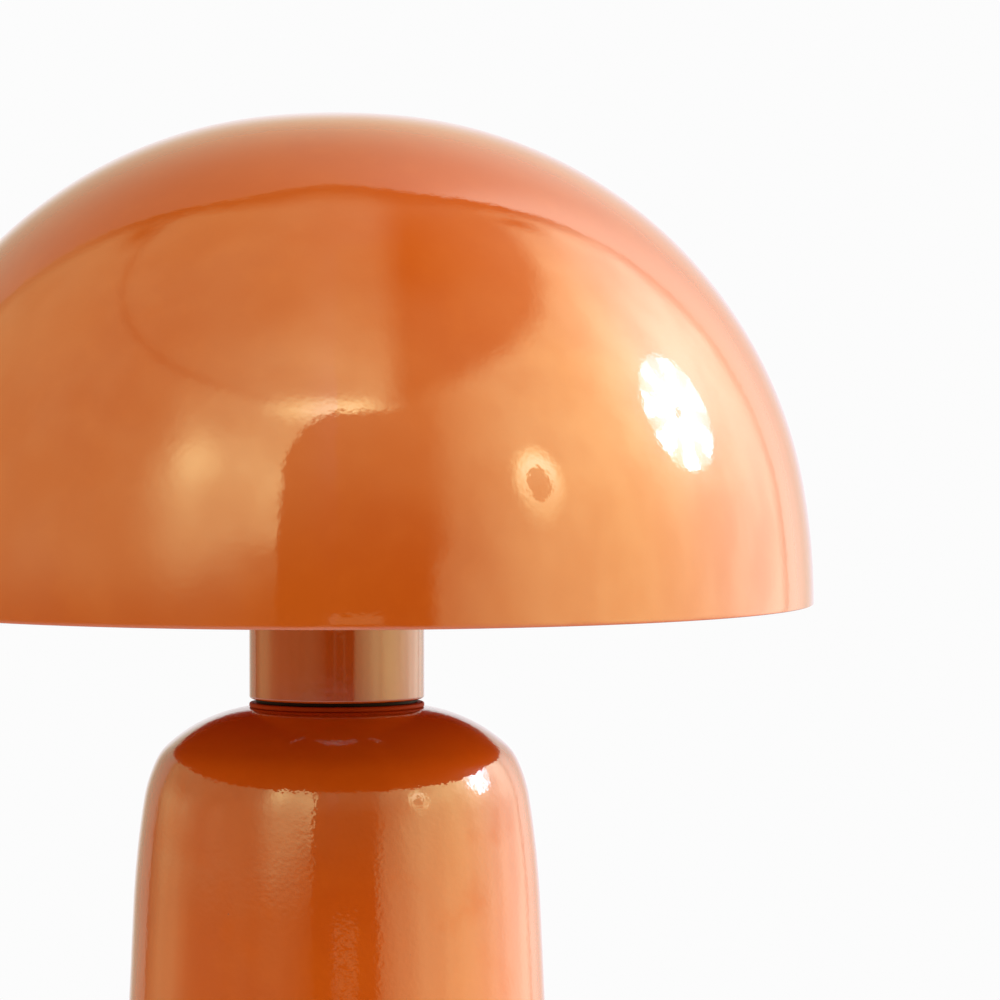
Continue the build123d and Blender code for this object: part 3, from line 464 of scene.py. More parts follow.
class Paint:
    """Principled material under construction, in object coordinates."""

    def __init__(self, name, base, roughness, metallic=0.0, **sockets):
        self.material, self.tree, result = new_material(name)
        self.shader = self.tree.nodes.new("ShaderNodeBsdfPrincipled")
        self.shader.inputs["Base Color"].default_value = (*base, 1)
        self.shader.inputs["Roughness"].default_value = roughness
        self.shader.inputs["Metallic"].default_value = metallic
        for key, value in sockets.items():
            self.shader.inputs[key.replace("_", " ").title().replace("Ior", "IOR")].default_value = value
        self.base = base
        self.tree.links.new(self.shader.outputs[0], result.inputs["Surface"])
        coordinates = self.tree.nodes.new("ShaderNodeTexCoord")
        self.place = coordinates.outputs["Object"]
        split = self.tree.nodes.new("ShaderNodeSeparateXYZ")
        self.tree.links.new(self.place, split.inputs[0])
        self.x, self.y, self.z = (Value(self.tree, socket) for socket in split.outputs)
        self.normal = None

    def radius(self):
        """Distance from the lamp's axis."""
        return (self.x * self.x + self.y * self.y).math("SQRT")

    def noise(self, scale, detail=2.0, rough=0.5):
        """Noise between 0 and 1; scale is in features per metre."""
        node = self.tree.nodes.new("ShaderNodeTexNoise")
        self.tree.links.new(self.place, node.inputs["Vector"])
        node.inputs["Scale"].default_value = scale
        node.inputs["Detail"].default_value = detail
        node.inputs["Roughness"].default_value = rough
        return Value(self.tree, node.outputs["Fac"])

    def cells(self, scale):
        """Distance to the nearest of many scattered points, in units of their spacing."""
        node = self.tree.nodes.new("ShaderNodeTexVoronoi")
        self.tree.links.new(self.place, node.inputs["Vector"])
        node.inputs["Scale"].default_value = scale
        return Value(self.tree, node.outputs["Distance"])

    def tint(self, share, colour):
        """Lays a colour over the base by a share between 0 and 1."""
        mix = self.tree.nodes.new("ShaderNodeMix")
        mix.data_type = "RGBA"
        put(self.tree, share, mix.inputs[0])
        socket = self.shader.inputs["Base Color"]
        if socket.is_linked:
            self.tree.links.new(socket.links[0].from_socket, mix.inputs[6])
        else:
            mix.inputs[6].default_value = (*self.base, 1)
        mix.inputs[7].default_value = (*colour, 1)
        self.tree.links.new(mix.outputs[2], socket)

    def rough(self, value):
        put(self.tree, value, self.shader.inputs["Roughness"])

    def bump(self, height, depth, coat=False):
        """Raises the surface by depth, in metres, where height is 1."""
        node = self.tree.nodes.new("ShaderNodeBump")
        node.inputs["Distance"].default_value = depth
        put(self.tree, height, node.inputs["Height"])
        if self.normal is not None:
            self.tree.links.new(self.normal, node.inputs["Normal"])
        self.normal = node.outputs[0]
        self.tree.links.new(self.normal, self.shader.inputs["Normal"])
        if coat:
            self.tree.links.new(self.normal, self.shader.inputs["Coat Normal"])


ORANGE = (0.70, 0.119, 0.0105)
DEEP_ORANGE = (0.72, 0.107, 0.0055)
# painted shade: darker copy of the orange enamel, for surfaces in the shade under the dome
SHADE_DARKENED_ORANGE = (0.50, 0.050, 0.004)


def lacquer(name, base, coat_weight, coat_ior, ripple, coat_roughness=0.025, dull=0.0, patchy=0.0):
    """Lacquer with orange peel, spinning marks, pits, patches of thin coat and slight changes of tone."""
    sockets = {"coat_weight": coat_weight, "coat_ior": coat_ior, "coat_roughness": coat_roughness}
    paint = Paint(name, base, 0.2 + dull, **sockets)
    paint.shader.inputs["Specular IOR Level"].default_value = 0.2 - 0.4 * dull
    cloud = paint.noise(13.0, 3.0)
    red, green, blue = base
    paint.tint(cloud.step(0.38, 0.66, 0.0, 0.8), (red * 0.95, green * 0.86, blue * 0.8))
    paint.tint(paint.noise(60.0, 4.0).step(0.45, 0.8, 0.0, 0.35), (red * 1.06, green * 1.16, blue * 1.45))
    pits = paint.cells(55.0).step(0.030, 0.010) * paint.noise(9.0).step(0.58, 0.66)
    paint.tint(pits * 0.7, (0.16, 0.02, 0.004))
    paint.rough(paint.noise(25.0, 3.0).step(0.3, 0.7, 0.17 + dull, 0.23 + dull))
    if patchy:
        thin = paint.noise(15.0, 4.0, rough=0.6).step(0.5, 0.66, coat_weight, coat_weight * (1.0 - patchy))
        put(paint.tree, thin, paint.shader.inputs["Coat Weight"])
    spun = (paint.z * 2600.0 + paint.noise(11.0) * 14.0).math("SINE")
    paint.bump(spun * 0.5 + 0.5, 4e-7, coat=True)
    paint.bump(paint.noise(440.0, 1.0), ripple, coat=True)
    paint.bump(paint.noise(230.0, 1.0), 3.0e-5, coat=True)
    paint.bump(paint.noise(36.0, 1.0), 6e-5, coat=True)
    paint.bump(-pits, 6e-5, coat=True)
    return paint.material


def orange_enamel():
    return lacquer("orange_enamel", ORANGE, 1.0, 2.15, 1.5e-5)


def body_enamel():
    return lacquer("body_enamel", DEEP_ORANGE, 1.0, 2.03, 6.5e-5, patchy=0.28)


def neck_enamel():
    return lacquer("neck_enamel", DEEP_ORANGE, 1.0, 1.95, 2.4e-5)


# painted shade: dull, darker copy of the orange lacquer for the dome's inside and the collar
def shaded_enamel():
    return lacquer("shaded_enamel", SHADE_DARKENED_ORANGE, 0.05, 1.5, 7e-6, 0.35, 0.35)


# painted shade: the modelled spacer is near-black and reddish so that it reads as the shadow line in the gap
# between neck and collar
def gap_shadow_black():
    paint = Paint("gap_shadow_black", (0.022, 0.009, 0.006), 0.6)
    paint.shader.inputs["Specular IOR Level"].default_value = 0.12
    paint.tint(paint.noise(60.0, 3.0).step(0.4, 0.7, 0.0, 0.5), (0.034, 0.014, 0.008))
    paint.rough(paint.noise(90.0, 3.0).step(0.3, 0.7, 0.52, 0.68))
    paint.bump(paint.noise(2600.0, 2.0), 2.5e-5)
    return paint.material


def black_plastic():
    paint = Paint("black_plastic", (0.03, 0.03, 0.032), 0.42)
    paint.tint(paint.noise(40.0, 3.0).step(0.4, 0.7, 0.0, 0.5), (0.045, 0.045, 0.047))
    paint.rough(paint.noise(90.0, 3.0).step(0.3, 0.7, 0.36, 0.5))
    paint.bump(paint.noise(2600.0, 2.0), 2.5e-5)
    return paint.material


def zinc_steel():
    paint = Paint("zinc_steel", (0.60, 0.61, 0.60), 0.32, 1.0)
    paint.tint(paint.noise(70.0, 3.0).step(0.45, 0.65, 0.0, 0.6), (0.66, 0.62, 0.48))
    paint.tint(paint.noise(160.0, 3.0).step(0.5, 0.75, 0.0, 0.5), (0.50, 0.55, 0.66))
    paint.rough(paint.noise(300.0, 3.0).step(0.3, 0.7, 0.25, 0.42))
    paint.bump(paint.noise(1500.0, 2.0), 1e-5)
    return paint.material


def nickel_steel():
    paint = Paint("nickel_steel", (0.70, 0.68, 0.64), 0.22, 1.0)
    paint.tint(paint.noise(50.0, 3.0).step(0.4, 0.7, 0.0, 0.5), (0.62, 0.59, 0.54))
    paint.rough(paint.noise(220.0, 3.0).step(0.3, 0.7, 0.18, 0.3))
    paint.bump(paint.noise(900.0, 2.0), 2e-6)
    return paint.material


def raw_steel():
    paint = Paint("raw_steel", (0.36, 0.36, 0.37), 0.45, 1.0)
    paint.tint(paint.noise(45.0, 4.0).step(0.4, 0.7, 0.0, 0.8), (0.20, 0.20, 0.22))
    paint.rough(paint.noise(120.0, 4.0).step(0.3, 0.7, 0.38, 0.62))
    paint.bump(paint.noise(700.0, 4.0), 4e-5)
    return paint.material


def hub_aluminium():
    paint = Paint("hub_aluminium", (0.74, 0.74, 0.75), 0.28, 1.0)
    rings = (paint.radius() * 22000.0).math("SINE") * 0.5 + 0.5
    paint.tint(paint.noise(80.0, 3.0).step(0.4, 0.7, 0.0, 0.4), (0.64, 0.64, 0.66))
    paint.rough(paint.noise(200.0, 2.0).step(0.3, 0.7, 0.22, 0.34))
    paint.bump(rings, 6e-6)
    return paint.material


def ballast_iron():
    paint = Paint("ballast_iron", (0.10, 0.10, 0.11), 0.62, 0.6)
    paint.tint(paint.noise(60.0, 4.0).step(0.5, 0.75, 0.0, 0.7), (0.16, 0.09, 0.05))
    paint.rough(paint.noise(150.0, 4.0).step(0.3, 0.7, 0.5, 0.78))
    paint.bump(paint.noise(420.0, 5.0), 3e-4)
    return paint.material


def plate_enamel():
    paint = Paint("plate_enamel", (0.035, 0.035, 0.04), 0.5)
    paint.tint(paint.noise(30.0, 3.0).step(0.45, 0.7, 0.0, 0.4), (0.06, 0.06, 0.065))
    paint.rough(paint.noise(200.0, 3.0).step(0.3, 0.7, 0.42, 0.58))
    paint.bump(paint.cells(1100.0), 5e-5)
    return paint.material


def pad_rubber():
    paint = Paint("pad_rubber", (0.045, 0.045, 0.05), 0.75)
    paint.tint(paint.noise(500.0, 3.0).step(0.55, 0.75, 0.0, 0.6), (0.10, 0.10, 0.10))
    paint.rough(paint.noise(120.0, 3.0).step(0.3, 0.7, 0.66, 0.85))
    paint.bump(paint.noise(1300.0, 3.0), 6e-5)
    return paint.material


def tip_silicone():
    paint = Paint("tip_silicone", (0.80, 0.80, 0.77), 0.45, subsurface_weight=0.3)
    paint.shader.inputs["Subsurface Radius"].default_value = (0.004, 0.003, 0.002)
    paint.tint(paint.noise(150.0, 3.0).step(0.45, 0.7, 0.0, 0.4), (0.70, 0.69, 0.64))
    paint.rough(paint.noise(300.0, 2.0).step(0.3, 0.7, 0.4, 0.55))
    paint.bump(paint.noise(1500.0, 2.0), 1.5e-5)
    return paint.material


def holder_ceramic():
    paint = Paint("holder_ceramic", (0.86, 0.85, 0.81), 0.22, coat_weight=0.5, coat_roughness=0.05)
    paint.tint(paint.noise(900.0, 2.0).step(0.68, 0.75, 0.0, 0.6), (0.55, 0.50, 0.42))
    paint.rough(paint.noise(150.0, 2.0).step(0.3, 0.7, 0.18, 0.3))
    paint.bump(paint.noise(400.0, 2.0), 2e-5)
    return paint.material


def contact_brass():
    paint = Paint("contact_brass", (0.78, 0.58, 0.25), 0.28, 1.0)
    paint.tint(paint.noise(180.0, 4.0).step(0.5, 0.72, 0.0, 0.6), (0.48, 0.30, 0.13))
    paint.rough(paint.noise(260.0, 3.0).step(0.3, 0.7, 0.2, 0.42))
    paint.bump(paint.noise(1400.0, 2.0), 1e-5)
    return paint.material


def cap_nickel():
    paint = Paint("cap_nickel", (0.72, 0.71, 0.68), 0.2, 1.0)
    paint.tint(paint.noise(120.0, 3.0).step(0.5, 0.7, 0.0, 0.5), (0.58, 0.56, 0.52))
    paint.rough(paint.noise(260.0, 3.0).step(0.3, 0.7, 0.15, 0.3))
    paint.bump(paint.noise(1100.0, 2.0), 8e-6)
    return paint.material


def insulator_black():
    paint = Paint("insulator_black", (0.02, 0.02, 0.035), 0.12, coat_weight=0.3)
    paint.tint(paint.noise(300.0, 2.0).step(0.5, 0.7, 0.0, 0.5), (0.04, 0.035, 0.05))
    paint.rough(paint.noise(250.0, 2.0).step(0.3, 0.7, 0.08, 0.2))
    paint.bump(paint.noise(500.0, 2.0), 2e-5)
    return paint.material


def housing_white():
    paint = Paint("housing_white", (0.86, 0.86, 0.85), 0.45)
    paint.tint(paint.noise(60.0, 3.0).step(0.45, 0.7, 0.0, 0.35), (0.80, 0.79, 0.76))
    paint.rough(paint.noise(120.0, 3.0).step(0.3, 0.7, 0.4, 0.55))
    paint.bump(paint.noise(2400.0, 2.0), 2e-5)
    return paint.material


def globe_opal():
    paint = Paint("globe_opal", (0.92, 0.92, 0.90), 0.32, subsurface_weight=0.5, coat_weight=0.2)
    paint.shader.inputs["Subsurface Radius"].default_value = (0.01, 0.009, 0.008)
    paint.tint(paint.noise(45.0, 3.0).step(0.45, 0.7, 0.0, 0.3), (0.88, 0.87, 0.83))
    paint.rough(paint.noise(150.0, 3.0).step(0.3, 0.7, 0.28, 0.38))
    paint.bump(paint.noise(1800.0, 2.0), 8e-6)
    return paint.material


def led_phosphor():
    paint = Paint("led_phosphor", (0.86, 0.70, 0.16), 0.35, coat_weight=0.4)
    paint.tint(paint.noise(900.0, 3.0).step(0.45, 0.7, 0.0, 0.5), (0.78, 0.58, 0.08))
    paint.rough(paint.noise(900.0, 2.0).step(0.3, 0.7, 0.3, 0.45))
    paint.bump(paint.noise(2500.0, 2.0), 2e-5)
    return paint.material


def board_green():
    paint = Paint("board_green", (0.03, 0.20, 0.09), 0.35, coat_weight=0.3)
    tracks = (paint.z * 1100.0 + (paint.x * 700.0).math("SINE") * 1.2).math("SINE")
    paint.tint(tracks.step(0.35, 0.45), (0.05, 0.30, 0.13))
    paint.rough(paint.noise(400.0, 2.0).step(0.3, 0.7, 0.3, 0.45))
    paint.bump(tracks.step(0.35, 0.45), 3e-5)
    return paint.material


def lead_sheath():
    paint = Paint("lead_sheath", (0.78, 0.78, 0.75), 0.4)
    paint.tint(paint.noise(90.0, 3.0).step(0.45, 0.7, 0.0, 0.5), (0.70, 0.69, 0.65))
    paint.rough(paint.noise(200.0, 3.0).step(0.3, 0.7, 0.35, 0.5))
    paint.bump(paint.noise(700.0, 3.0), 3e-5)
    return paint.material


def block_plastic():
    paint = Paint("block_plastic", (0.80, 0.79, 0.73), 0.38)
    paint.tint(paint.noise(150.0, 3.0).step(0.45, 0.7, 0.0, 0.4), (0.72, 0.70, 0.62))
    paint.rough(paint.noise(240.0, 3.0).step(0.3, 0.7, 0.32, 0.48))
    paint.bump(paint.noise(1800.0, 2.0), 2e-5)
    return paint.material


MAKERS = (
    orange_enamel, body_enamel, neck_enamel, shaded_enamel, gap_shadow_black, black_plastic, zinc_steel,
    nickel_steel, raw_steel, hub_aluminium, ballast_iron, plate_enamel, pad_rubber, tip_silicone,
    holder_ceramic, contact_brass, cap_nickel, insulator_black, housing_white, globe_opal, led_phosphor,
    board_green, lead_sheath, block_plastic,
)


# ---- shade --------------------------------------------------------------

SHADE_RADIUS, SHADE_WALL, CROWN_ARC, SKIRT_ARC = 250.0, 1.2, 356.2, 358.3
CROWN_SLOPE, SIDE_SLOPE, SKIRT_SLOPE = 5.8, 80.3, 89.9
RIM_LEVEL = 743.0

crown_sine, side_sine, skirt_sine = (sin(radians(s)) for s in (CROWN_SLOPE, SIDE_SLOPE, SKIRT_SLOPE))
side_reach = SHADE_RADIUS - CROWN_ARC * crown_sine - SKIRT_ARC * (skirt_sine - side_sine)
side_arc = side_reach / (side_sine - crown_sine)
skirt_centre = (SHADE_RADIUS - SKIRT_ARC * skirt_sine, RIM_LEVEL - SKIRT_ARC * cos(radians(SKIRT_SLOPE)))
side_centre = on_arc(skirt_centre, SKIRT_ARC - side_arc, radians(SIDE_SLOPE))
crown_centre = on_arc(side_centre, side_arc - CROWN_ARC, radians(CROWN_SLOPE))


def shade_outline(depth, rows):
    """Crown to rim, at a depth under the outer surface, with so many rows on each of the three arcs."""
    points = arc_points(crown_centre, CROWN_ARC - depth, 0, CROWN_SLOPE, rows[0])
    points += arc_points(side_centre, side_arc - depth, CROWN_SLOPE, SIDE_SLOPE, rows[1])
    points += arc_points(skirt_centre, SKIRT_ARC - depth, SIDE_SLOPE, SKIRT_SLOPE - 0.06, rows[2])
    return points


def make_shade(materials):
    """Spun dome with a softly rounded rim."""
    outer = shade_outline(SKIN, (12, 110, 24))
    inner = shade_outline(SHADE_WALL - SKIN, (8, 68, 16))
    half = SHADE_WALL / 2 - SKIN
    rim_radius = SHADE_RADIUS - SHADE_WALL / 2
    turns = [pi * k / 8 for k in range(9)]
    rim = [(rim_radius + half * cos(t), RIM_LEVEL + half + SKIN - half * sin(t)) for t in turns]
    segments = 360
    dome = lathe("shade_dome_lacquer", outer + rim + inner[::-1], segments, closed=False)
    dress(dome, "shade", "orange_enamel", materials["orange_enamel"], "shade_dome")
    # the inner faces take the darker copy of the enamel: painted shade under the dome
    dome.data.materials.append(materials["shaded_enamel"])
    for face in dome.data.polygons[(len(outer) + len(rim) - 1) * segments:]:
        face.material_index = 1


# ---- body, collar and neck ----------------------------------------------

BODY_HEIGHT, BASE_RADIUS, BODY_WALL, BODY_LIFT = 688.5, 133.5, 1.2, 2.0
NECK_RADIUS, START_SLOPE, FLANK_ARC, INLET_LEVEL = 46.0, 7.5, 515.6, 12.3
BORE = 5.4  # radius of the hole for the stem
SHOULDER_BENDS = ((79.6, 42.0), (24.9, 64.0), (74.9, 81.0))

body_arcs = []
slope, corner = START_SLOPE, (NECK_RADIUS, BODY_HEIGHT)
for bend, end_slope in SHOULDER_BENDS + ((FLANK_ARC, 90.0),):
    centre = on_arc(corner, -bend, radians(slope))
    body_arcs.append((centre, bend, slope, end_slope))
    slope, corner = end_slope, on_arc(centre, bend, radians(end_slope))
flank_centre = body_arcs[-1][0]
foot_offset = (BASE_RADIUS - flank_centre[0], BODY_LIFT - flank_centre[1])
cone_slope = degrees(atan2(foot_offset[0], foot_offset[1]) - acos(FLANK_ARC / hypot(*foot_offset)))
cone_tangent = tan(radians(cone_slope))


def make_body(materials):
    """Spun body: flat top, rounded shoulder, long cone and a hemmed foot."""
    points = [(BORE, BODY_HEIGHT - SKIN), (NECK_RADIUS - 2, BODY_HEIGHT - SKIN)]
    for centre, bend, start, end in body_arcs:
        stop = min(end, cone_slope)
        points += arc_points(centre, bend - SKIN, start, stop, max(10, int((stop - start) * bend / 90)))
    tangent = on_arc(flank_centre, FLANK_ARC - SKIN, radians(cone_slope))
    rows = 60
    foot = BODY_LIFT + 0.5
    for k in range(rows + 1):
        z = tangent[1] + (foot - tangent[1]) * k / rows
        points.append((tangent[0] + (tangent[1] - z) / cone_tangent, z))
    outer_foot = points[-1][0]
    points += [(outer_foot - 0.15, BODY_LIFT + 0.15), (outer_foot - 0.5, BODY_LIFT + 0.02)]
    inner_foot = outer_foot - BODY_WALL
    points += [(inner_foot + 0.4, BODY_LIFT + 0.02), (inner_foot + 0.1, BODY_LIFT + 0.3)]
    inner_skin = BODY_WALL - 0.1
    points += [(tangent[0] - inner_skin + (tangent[1] - z) / cone_tangent, z) for z in (10.0, 200.0, 480.0)]
    for centre, bend, start, end in reversed(body_arcs):
        stop = min(end, cone_slope)
        points += arc_points(centre, bend - inner_skin, start, stop, 12)[::-1]
    points += [(NECK_RADIUS - 2, BODY_HEIGHT - inner_skin), (BORE, BODY_HEIGHT - inner_skin)]
    body = lathe("body_shell_lacquer", points, 320)
    dress(body, "stand", "orange_enamel", materials["body_enamel"], "body_shell")


def make_neck(materials):
    """Collar, shadow gap, neck cup and its lid."""
    enamel = materials["neck_enamel"]
    collar = lathe("collar_plate_lacquer", rounded_outline(
        ((BORE, 688.5), (45.9, 688.5, 0.9), (45.9, 690.95, 1.3), (BORE, 690.95)), 0.0, 8), 192)
    # the collar takes the darker, dull copy of the enamel: painted shade between neck and body
    dress(collar, "stand", "orange_enamel", materials["shaded_enamel"], "collar_plate")
    spacer = lathe("gap_spacer_black", rounded_outline(
        ((BORE, 691.0), (42.4, 691.0), (42.4, 692.88), (BORE, 692.88)), 0.1, 2), 128)
    # the spacer takes the near-black finish that paints the shadow line in the gap
    dress(spacer, "stand", "black_plastic", materials["gap_shadow_black"], "gap_spacer")
    neck = lathe("neck_shell_lacquer", rounded_outline(
        ((BORE, 692.95), (45.95, 692.95, 1.6), (45.95, 762.85, 0.5), (44.1, 762.85, 0.3), (44.1, 694.85),
         (BORE, 694.85)), 0.0, 8), 192)
    dress(neck, "stand", "orange_enamel", enamel, "neck_shell")
    cap = lathe("neck_cap_lacquer", rounded_outline(
        ((BORE, 764.85), (45.95, 764.85, 1.2), (45.95, 762.95, 0.2), (43.7, 762.95), (43.7, 759.0, 0.3),
         (41.9, 759.0, 0.3), (41.9, 762.95), (BORE, 762.95)), 0.0, 6), 192)
    dress(cap, "stand", "orange_enamel", enamel, "neck_cap")


# ---- base ---------------------------------------------------------------

RIB_COUNT = 9


def make_base(materials):
    """Ribbed floor pad and the cord inlet's grommet."""
    steps = RIB_COUNT * 8
    ribs = [(112.8 + 13.8 * k / steps, 0.04 + 0.25 * (1 - cos(2 * pi * RIB_COUNT * k / steps)))
            for k in range(steps + 1)]
    top = [(126.6, 1.9), (126.4, 2.3), (126.0, 2.42), (113.4, 2.42), (112.95, 2.3), (112.8, 1.9)]
    pad = lathe("floor_pad_ribbed", ribs + top, 192)
    dress(pad, "stand", "pad_rubber", materials["pad_rubber"], "floor_pad")
    grommet = lathe("cord_grommet_lipped", rounded_outline(
        ((3.48, -3.52, 0.3), (6.92, -3.52, 0.5), (6.92, -1.68, 0.2), (5.12, -1.68), (5.12, 0.23),
         (6.92, 0.23, 0.2), (6.92, 2.47, 1.0), (5.6, 2.47, 0.3), (5.3, 2.1, 0.2), (4.9, 2.47, 0.3),
         (3.48, 2.47, 0.7)), 0.0, 6), 96)
    normal = Vector((0, sin(radians(cone_slope)), cos(radians(cone_slope))))
    side = Vector((1, 0, 0))
    wall = BASE_RADIUS - (INLET_LEVEL - BODY_LIFT) / cone_tangent
    axes = Matrix((side, normal.cross(side), normal)).transposed().to_4x4()
    copies(grommet, [Matrix.Translation((0, wall * MM, INLET_LEVEL * MM)) @ axes])
    dress(grommet, "stand", "pad_rubber", materials["pad_rubber"], "cord_grommet")


# ---- holder and carrier -------------------------------------------------

THREAD_PITCH, THREAD_SWING = 3.629, 0.46
SLEEVE_PITCH, RING_RADIUS, NOTCH_RADIUS = 2.4, 26.0, 1.68
TIP_PLACE, TIP_SLOPE, ARM_TURNS = (184.41, 913.25), 48.9, (90, 210, 330)
ARM_RADIUS, ARM_SIDES, TIP_RADIUS = 2.44, 28, 5.92


def screw_swing(height, turn, low, high):
    """Right-hand thread wave between -1 and 1, fading out at both ends."""
    return sin(2 * pi * height / THREAD_PITCH - turn) * within(height, low, high, 1.2)


def make_holder(materials):
    """Ribbed cap, threaded sleeve, notched ring and helical screw shell of the bulb holder."""
    def ribbed(radius, height, turn):
        ribs = within(height, 780.5, 787.0, 1.0) * (0.5 + 0.5 * cos(40 * turn))
        return radius - (0.4 * ribs if radius > 19.6 else 0.0)

    def threaded(radius, height, turn):
        groove = within(height, 803.0, 823.5, 1.2) * (0.5 - 0.5 * sin(2 * pi * height / SLEEVE_PITCH - turn))
        return radius - (0.5 * groove if 18.8 < radius < 19.8 else 0.0)

    def notched(radius, height, turn):
        across = RING_RADIUS * sin((turn + pi / 12) % (pi / 6) - pi / 12)
        if abs(across) >= NOTCH_RADIUS:
            return radius
        return min(radius, RING_RADIUS - sqrt(NOTCH_RADIUS ** 2 - across ** 2))

    def shell_thread(radius, height, turn):
        return radius + (THREAD_SWING * screw_swing(height, turn, 797.0, 816.5) if radius > 13.7 else 0.0)

    plastic = materials["black_plastic"]
    cap = lathe("holder_cap_ribbed", divided(rounded_outline(
        ((5.18, 770.48), (8.42, 770.48, 0.4), (8.42, 774.48, 0.3), (16.5, 774.48, 0.8),
         (20.42, 778.4, 1.4), (20.42, 789.32, 0.4), (18.78, 789.32, 0.2), (18.78, 779.6, 0.6),
         (15.5, 776.32, 0.6), (5.18, 776.32)), 0.0), 0.7), 320, vary=ribbed)
    dress(cap, "stand", "black_plastic", plastic, "holder_cap")
    skirt = lathe("holder_skirt_threaded", divided(rounded_outline(
        ((17.58, 789.48), (22.42, 789.48, 0.5), (22.42, 792.82, 0.4), (19.42, 792.82, 0.2),
         (19.42, 825.92, 0.7), (17.58, 825.92, 0.4)), 0.0), 0.3), 128, vary=threaded)
    dress(skirt, "stand", "black_plastic", plastic, "holder_skirt")
    ring = lathe("shade_ring_notched", divided(rounded_outline(
        ((19.78, 800.98, 0.2), (25.92, 800.98, 0.5), (25.92, 806.82, 0.9), (19.78, 806.82, 0.4)), 0.0),
        1.0), 480, vary=notched)
    dress(ring, "stand", "black_plastic", plastic, "shade_ring")
    shell = lathe("holder_screw_shell_helical", divided([
        (7.05, 795.36), (13.89, 795.36), (13.89, 819.3), (14.21, 819.3), (14.21, 795.06), (7.05, 795.06),
    ], 0.35), 96, vary=shell_thread)
    dress(shell, "stand", "contact_brass", materials["contact_brass"], "holder_screw_shell")


def make_arms(materials):
    """Three bent round rods, from the hub up to the soft tips."""
    start, corner, bend = Vector((24.6, 0, 796.9)), Vector((51.04, 0, 796.9)), 20.0
    rise = Vector((sin(radians(TIP_SLOPE)), 0, cos(radians(TIP_SLOPE))))
    turned = radians(90 - TIP_SLOPE)
    reach = bend * tan(turned / 2)
    centre = corner + Vector((-reach, 0, bend))
    end = Vector((TIP_PLACE[0], 0, TIP_PLACE[1])) - rise * 1.6
    bent = [centre + Vector((sin(turned * k / 16), 0, -cos(turned * k / 16))) * bend for k in range(17)]
    after = bent[-1]
    route = [start] + bent + [after + (end - after) * k / 8 for k in range(1, 9)]
    side = Vector((0, 1, 0))
    turns = [2 * pi * i / ARM_SIDES for i in range(ARM_SIDES)]
    shape = bmesh.new()
    rings = []
    for k, point in enumerate(route):
        along = (route[min(k + 1, len(route) - 1)] - route[max(k - 1, 0)]).normalized()
        across = along.cross(side)
        ring = [point + (across * cos(t) + side * sin(t)) * ARM_RADIUS for t in turns]
        rings.append([shape.verts.new(place * MM) for place in ring])
    for first, second in zip(rings, rings[1:]):
        for i in range(ARM_SIDES):
            shape.faces.new((first[i], second[i], second[i - 1], first[i - 1]))
    shape.faces.new(rings[0])
    shape.faces.new(rings[-1])
    bmesh.ops.recalc_face_normals(shape, faces=shape.faces)
    arms = to_piece("carrier_arms_bent", shape)
    copies(arms, [Matrix.Rotation(radians(turn), 4, "Z") for turn in ARM_TURNS])
    dress(arms, "stand", "nickel_steel", materials["nickel_steel"], "carrier_arms")


def make_tips(materials):
    """Soft balls on the three arms, each with a moulding groove and a sleeve mouth."""
    mouth = degrees(acos(2.75 / TIP_RADIUS))
    outline = [(0, TIP_RADIUS)]
    for k in range(1, 61):
        angle = radians(90 - (90 + mouth) * k / 60)
        reach = TIP_RADIUS - 0.16 * within(TIP_RADIUS * sin(angle), -0.12, 0.12, 0.3)
        outline.append((reach * cos(angle), reach * sin(angle)))
    outline += [(2.68, -5.0), (2.68, -1.38), (0, -1.38)]
    tips = lathe("carrier_tips_moulded", outline, 64, closed=False)
    places = []
    for turn in ARM_TURNS:
        lean = Matrix.Rotation(radians(TIP_SLOPE), 4, "Y")
        lift = Matrix.Translation((TIP_PLACE[0] * MM, 0, TIP_PLACE[1] * MM))
        places.append(Matrix.Rotation(radians(turn), 4, "Z") @ lift @ lean)
    copies(tips, places)
    dress(tips, "stand", "tip_silicone", materials["tip_silicone"], "carrier_tips")


# ---- bulb ---------------------------------------------------------------

HOUSING_FOOT, HOUSING_TOP = (13.7, 827.045), (21.2, 856.045)
GLOBE_CENTRE, GLOBE_OUTER, GLOBE_INNER = 878.042, 29.92, 28.88


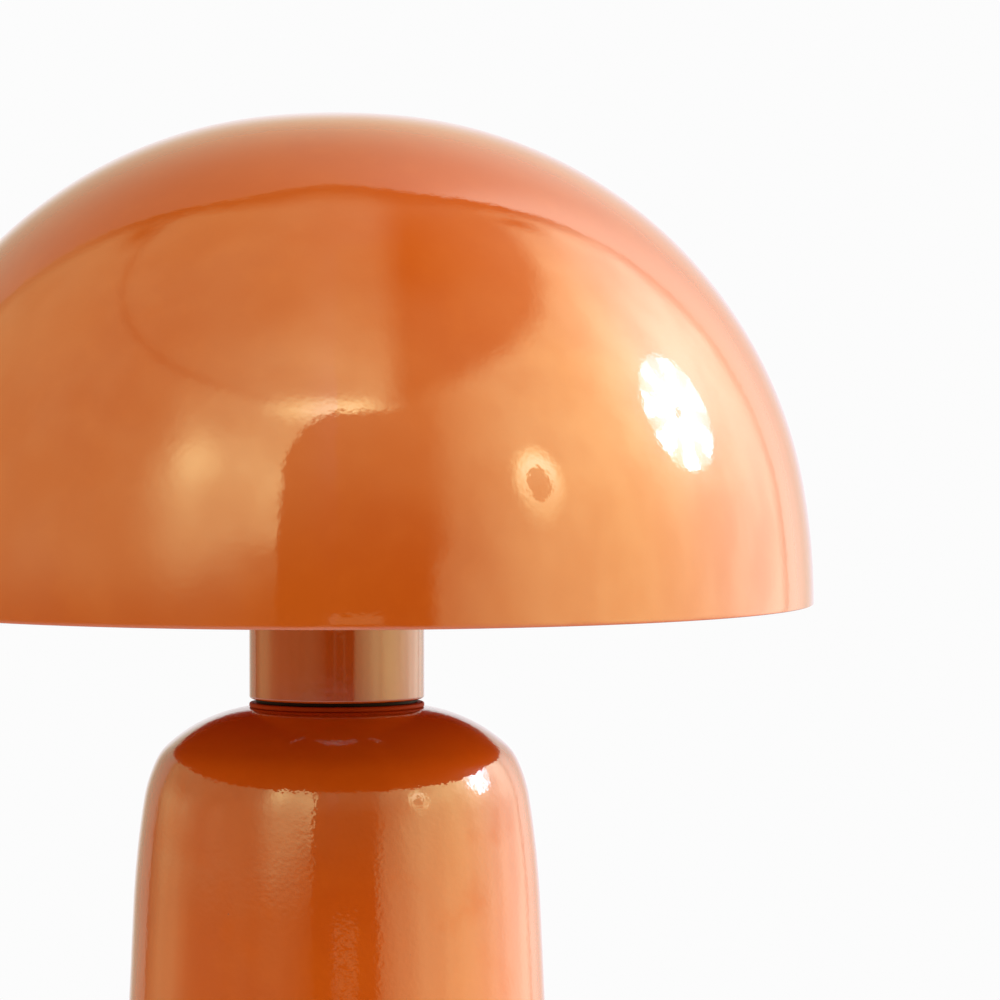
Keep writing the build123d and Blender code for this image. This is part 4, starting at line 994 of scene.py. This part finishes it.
def make_bulb(materials):
    """Cap with a helical thread, fluted housing and opal globe."""
    def cap_thread(radius, height, turn):
        return radius + (THREAD_SWING * screw_swing(height, turn, 806.3, 822.0) if radius > 12.5 else 0.0)

    def fluted(radius, height, turn):
        flutes = within(height, 833.0, 847.5, 3.0) * (0.5 - 0.5 * cos(30 * turn)) ** 0.7
        line = within(height, 852.8, 853.2, 0.4)
        outside = radius > 13.0 + (height - 827.0) * 0.2
        return radius - (0.6 * flutes + 0.35 * line if outside else 0.0)

    cap = lathe("bulb_cap_helical", divided([
        (11.73, 804.06), (12.3, 804.06), (12.57, 804.3), (12.57, 826.6), (12.75, 826.97), (11.73, 826.97),
    ], 0.35), 96, vary=cap_thread)
    dress(cap, "bulb", "cap_nickel", materials["cap_nickel"], "bulb_cap")
    side = []
    for k in range(57):
        t = k / 56
        r = HOUSING_FOOT[0] + (HOUSING_TOP[0] - HOUSING_FOOT[0]) * t + 4.8 * t * (1 - t) - 0.12
        side.append((r, HOUSING_FOOT[1] + 0.3 + (HOUSING_TOP[1] - HOUSING_FOOT[1] - 0.7) * t))
    top = [(20.85, 855.96), (18.5, 855.96), (18.5, 854.1), (17.3, 854.1)]
    housing = lathe("bulb_housing_fluted", [(11.75, 827.12), (13.3, 827.12)] + side + top, 300, vary=fluted)
    dress(housing, "bulb", "housing_white", materials["housing_white"], "bulb_housing")
    low = -degrees(acos(20.5 / GLOBE_OUTER))
    points = []
    for k in range(73):
        angle = radians(90 + (low - 90) * k / 72)
        reach = GLOBE_OUTER - 0.07 * within(GLOBE_OUTER * sin(angle), -0.05, 0.05, 0.5)
        points.append((reach * cos(angle), GLOBE_CENTRE + reach * sin(angle)))
    points += [(20.4, 856.12), (19.6, 856.12)]
    low = -degrees(acos(19.4 / GLOBE_INNER))
    for k in range(24, -1, -1):
        angle = radians(90 + (low - 90) * k / 24)
        points.append((GLOBE_INNER * cos(angle), GLOBE_CENTRE + GLOBE_INNER * sin(angle)))
    globe = lathe("bulb_globe_opal", points, 128, closed=False)
    dress(globe, "bulb", "globe_opal", materials["globe_opal"], "bulb_globe")


# ---- everything ---------------------------------------------------------


def main():
    scene = bpy.context.scene
    scene.view_settings.view_transform = "Standard"
    make_camera()
    make_stage()
    studio_world()
    for fill in FILLS:
        area_light(*fill)

    materials = {maker.__name__: maker() for maker in MAKERS}
    slots = {part["node"]: part["material_slot"] for part in frame["record"]["subparts"]}
    for name, node in frame["nodes"].items():
        node.data.materials.clear()
        node.data.materials.append(materials[slots[name]])

    make_shade(materials)
    make_body(materials)
    make_neck(materials)
    make_base(materials)
    make_holder(materials)
    make_arms(materials)
    make_tips(materials)
    make_bulb(materials)


main()
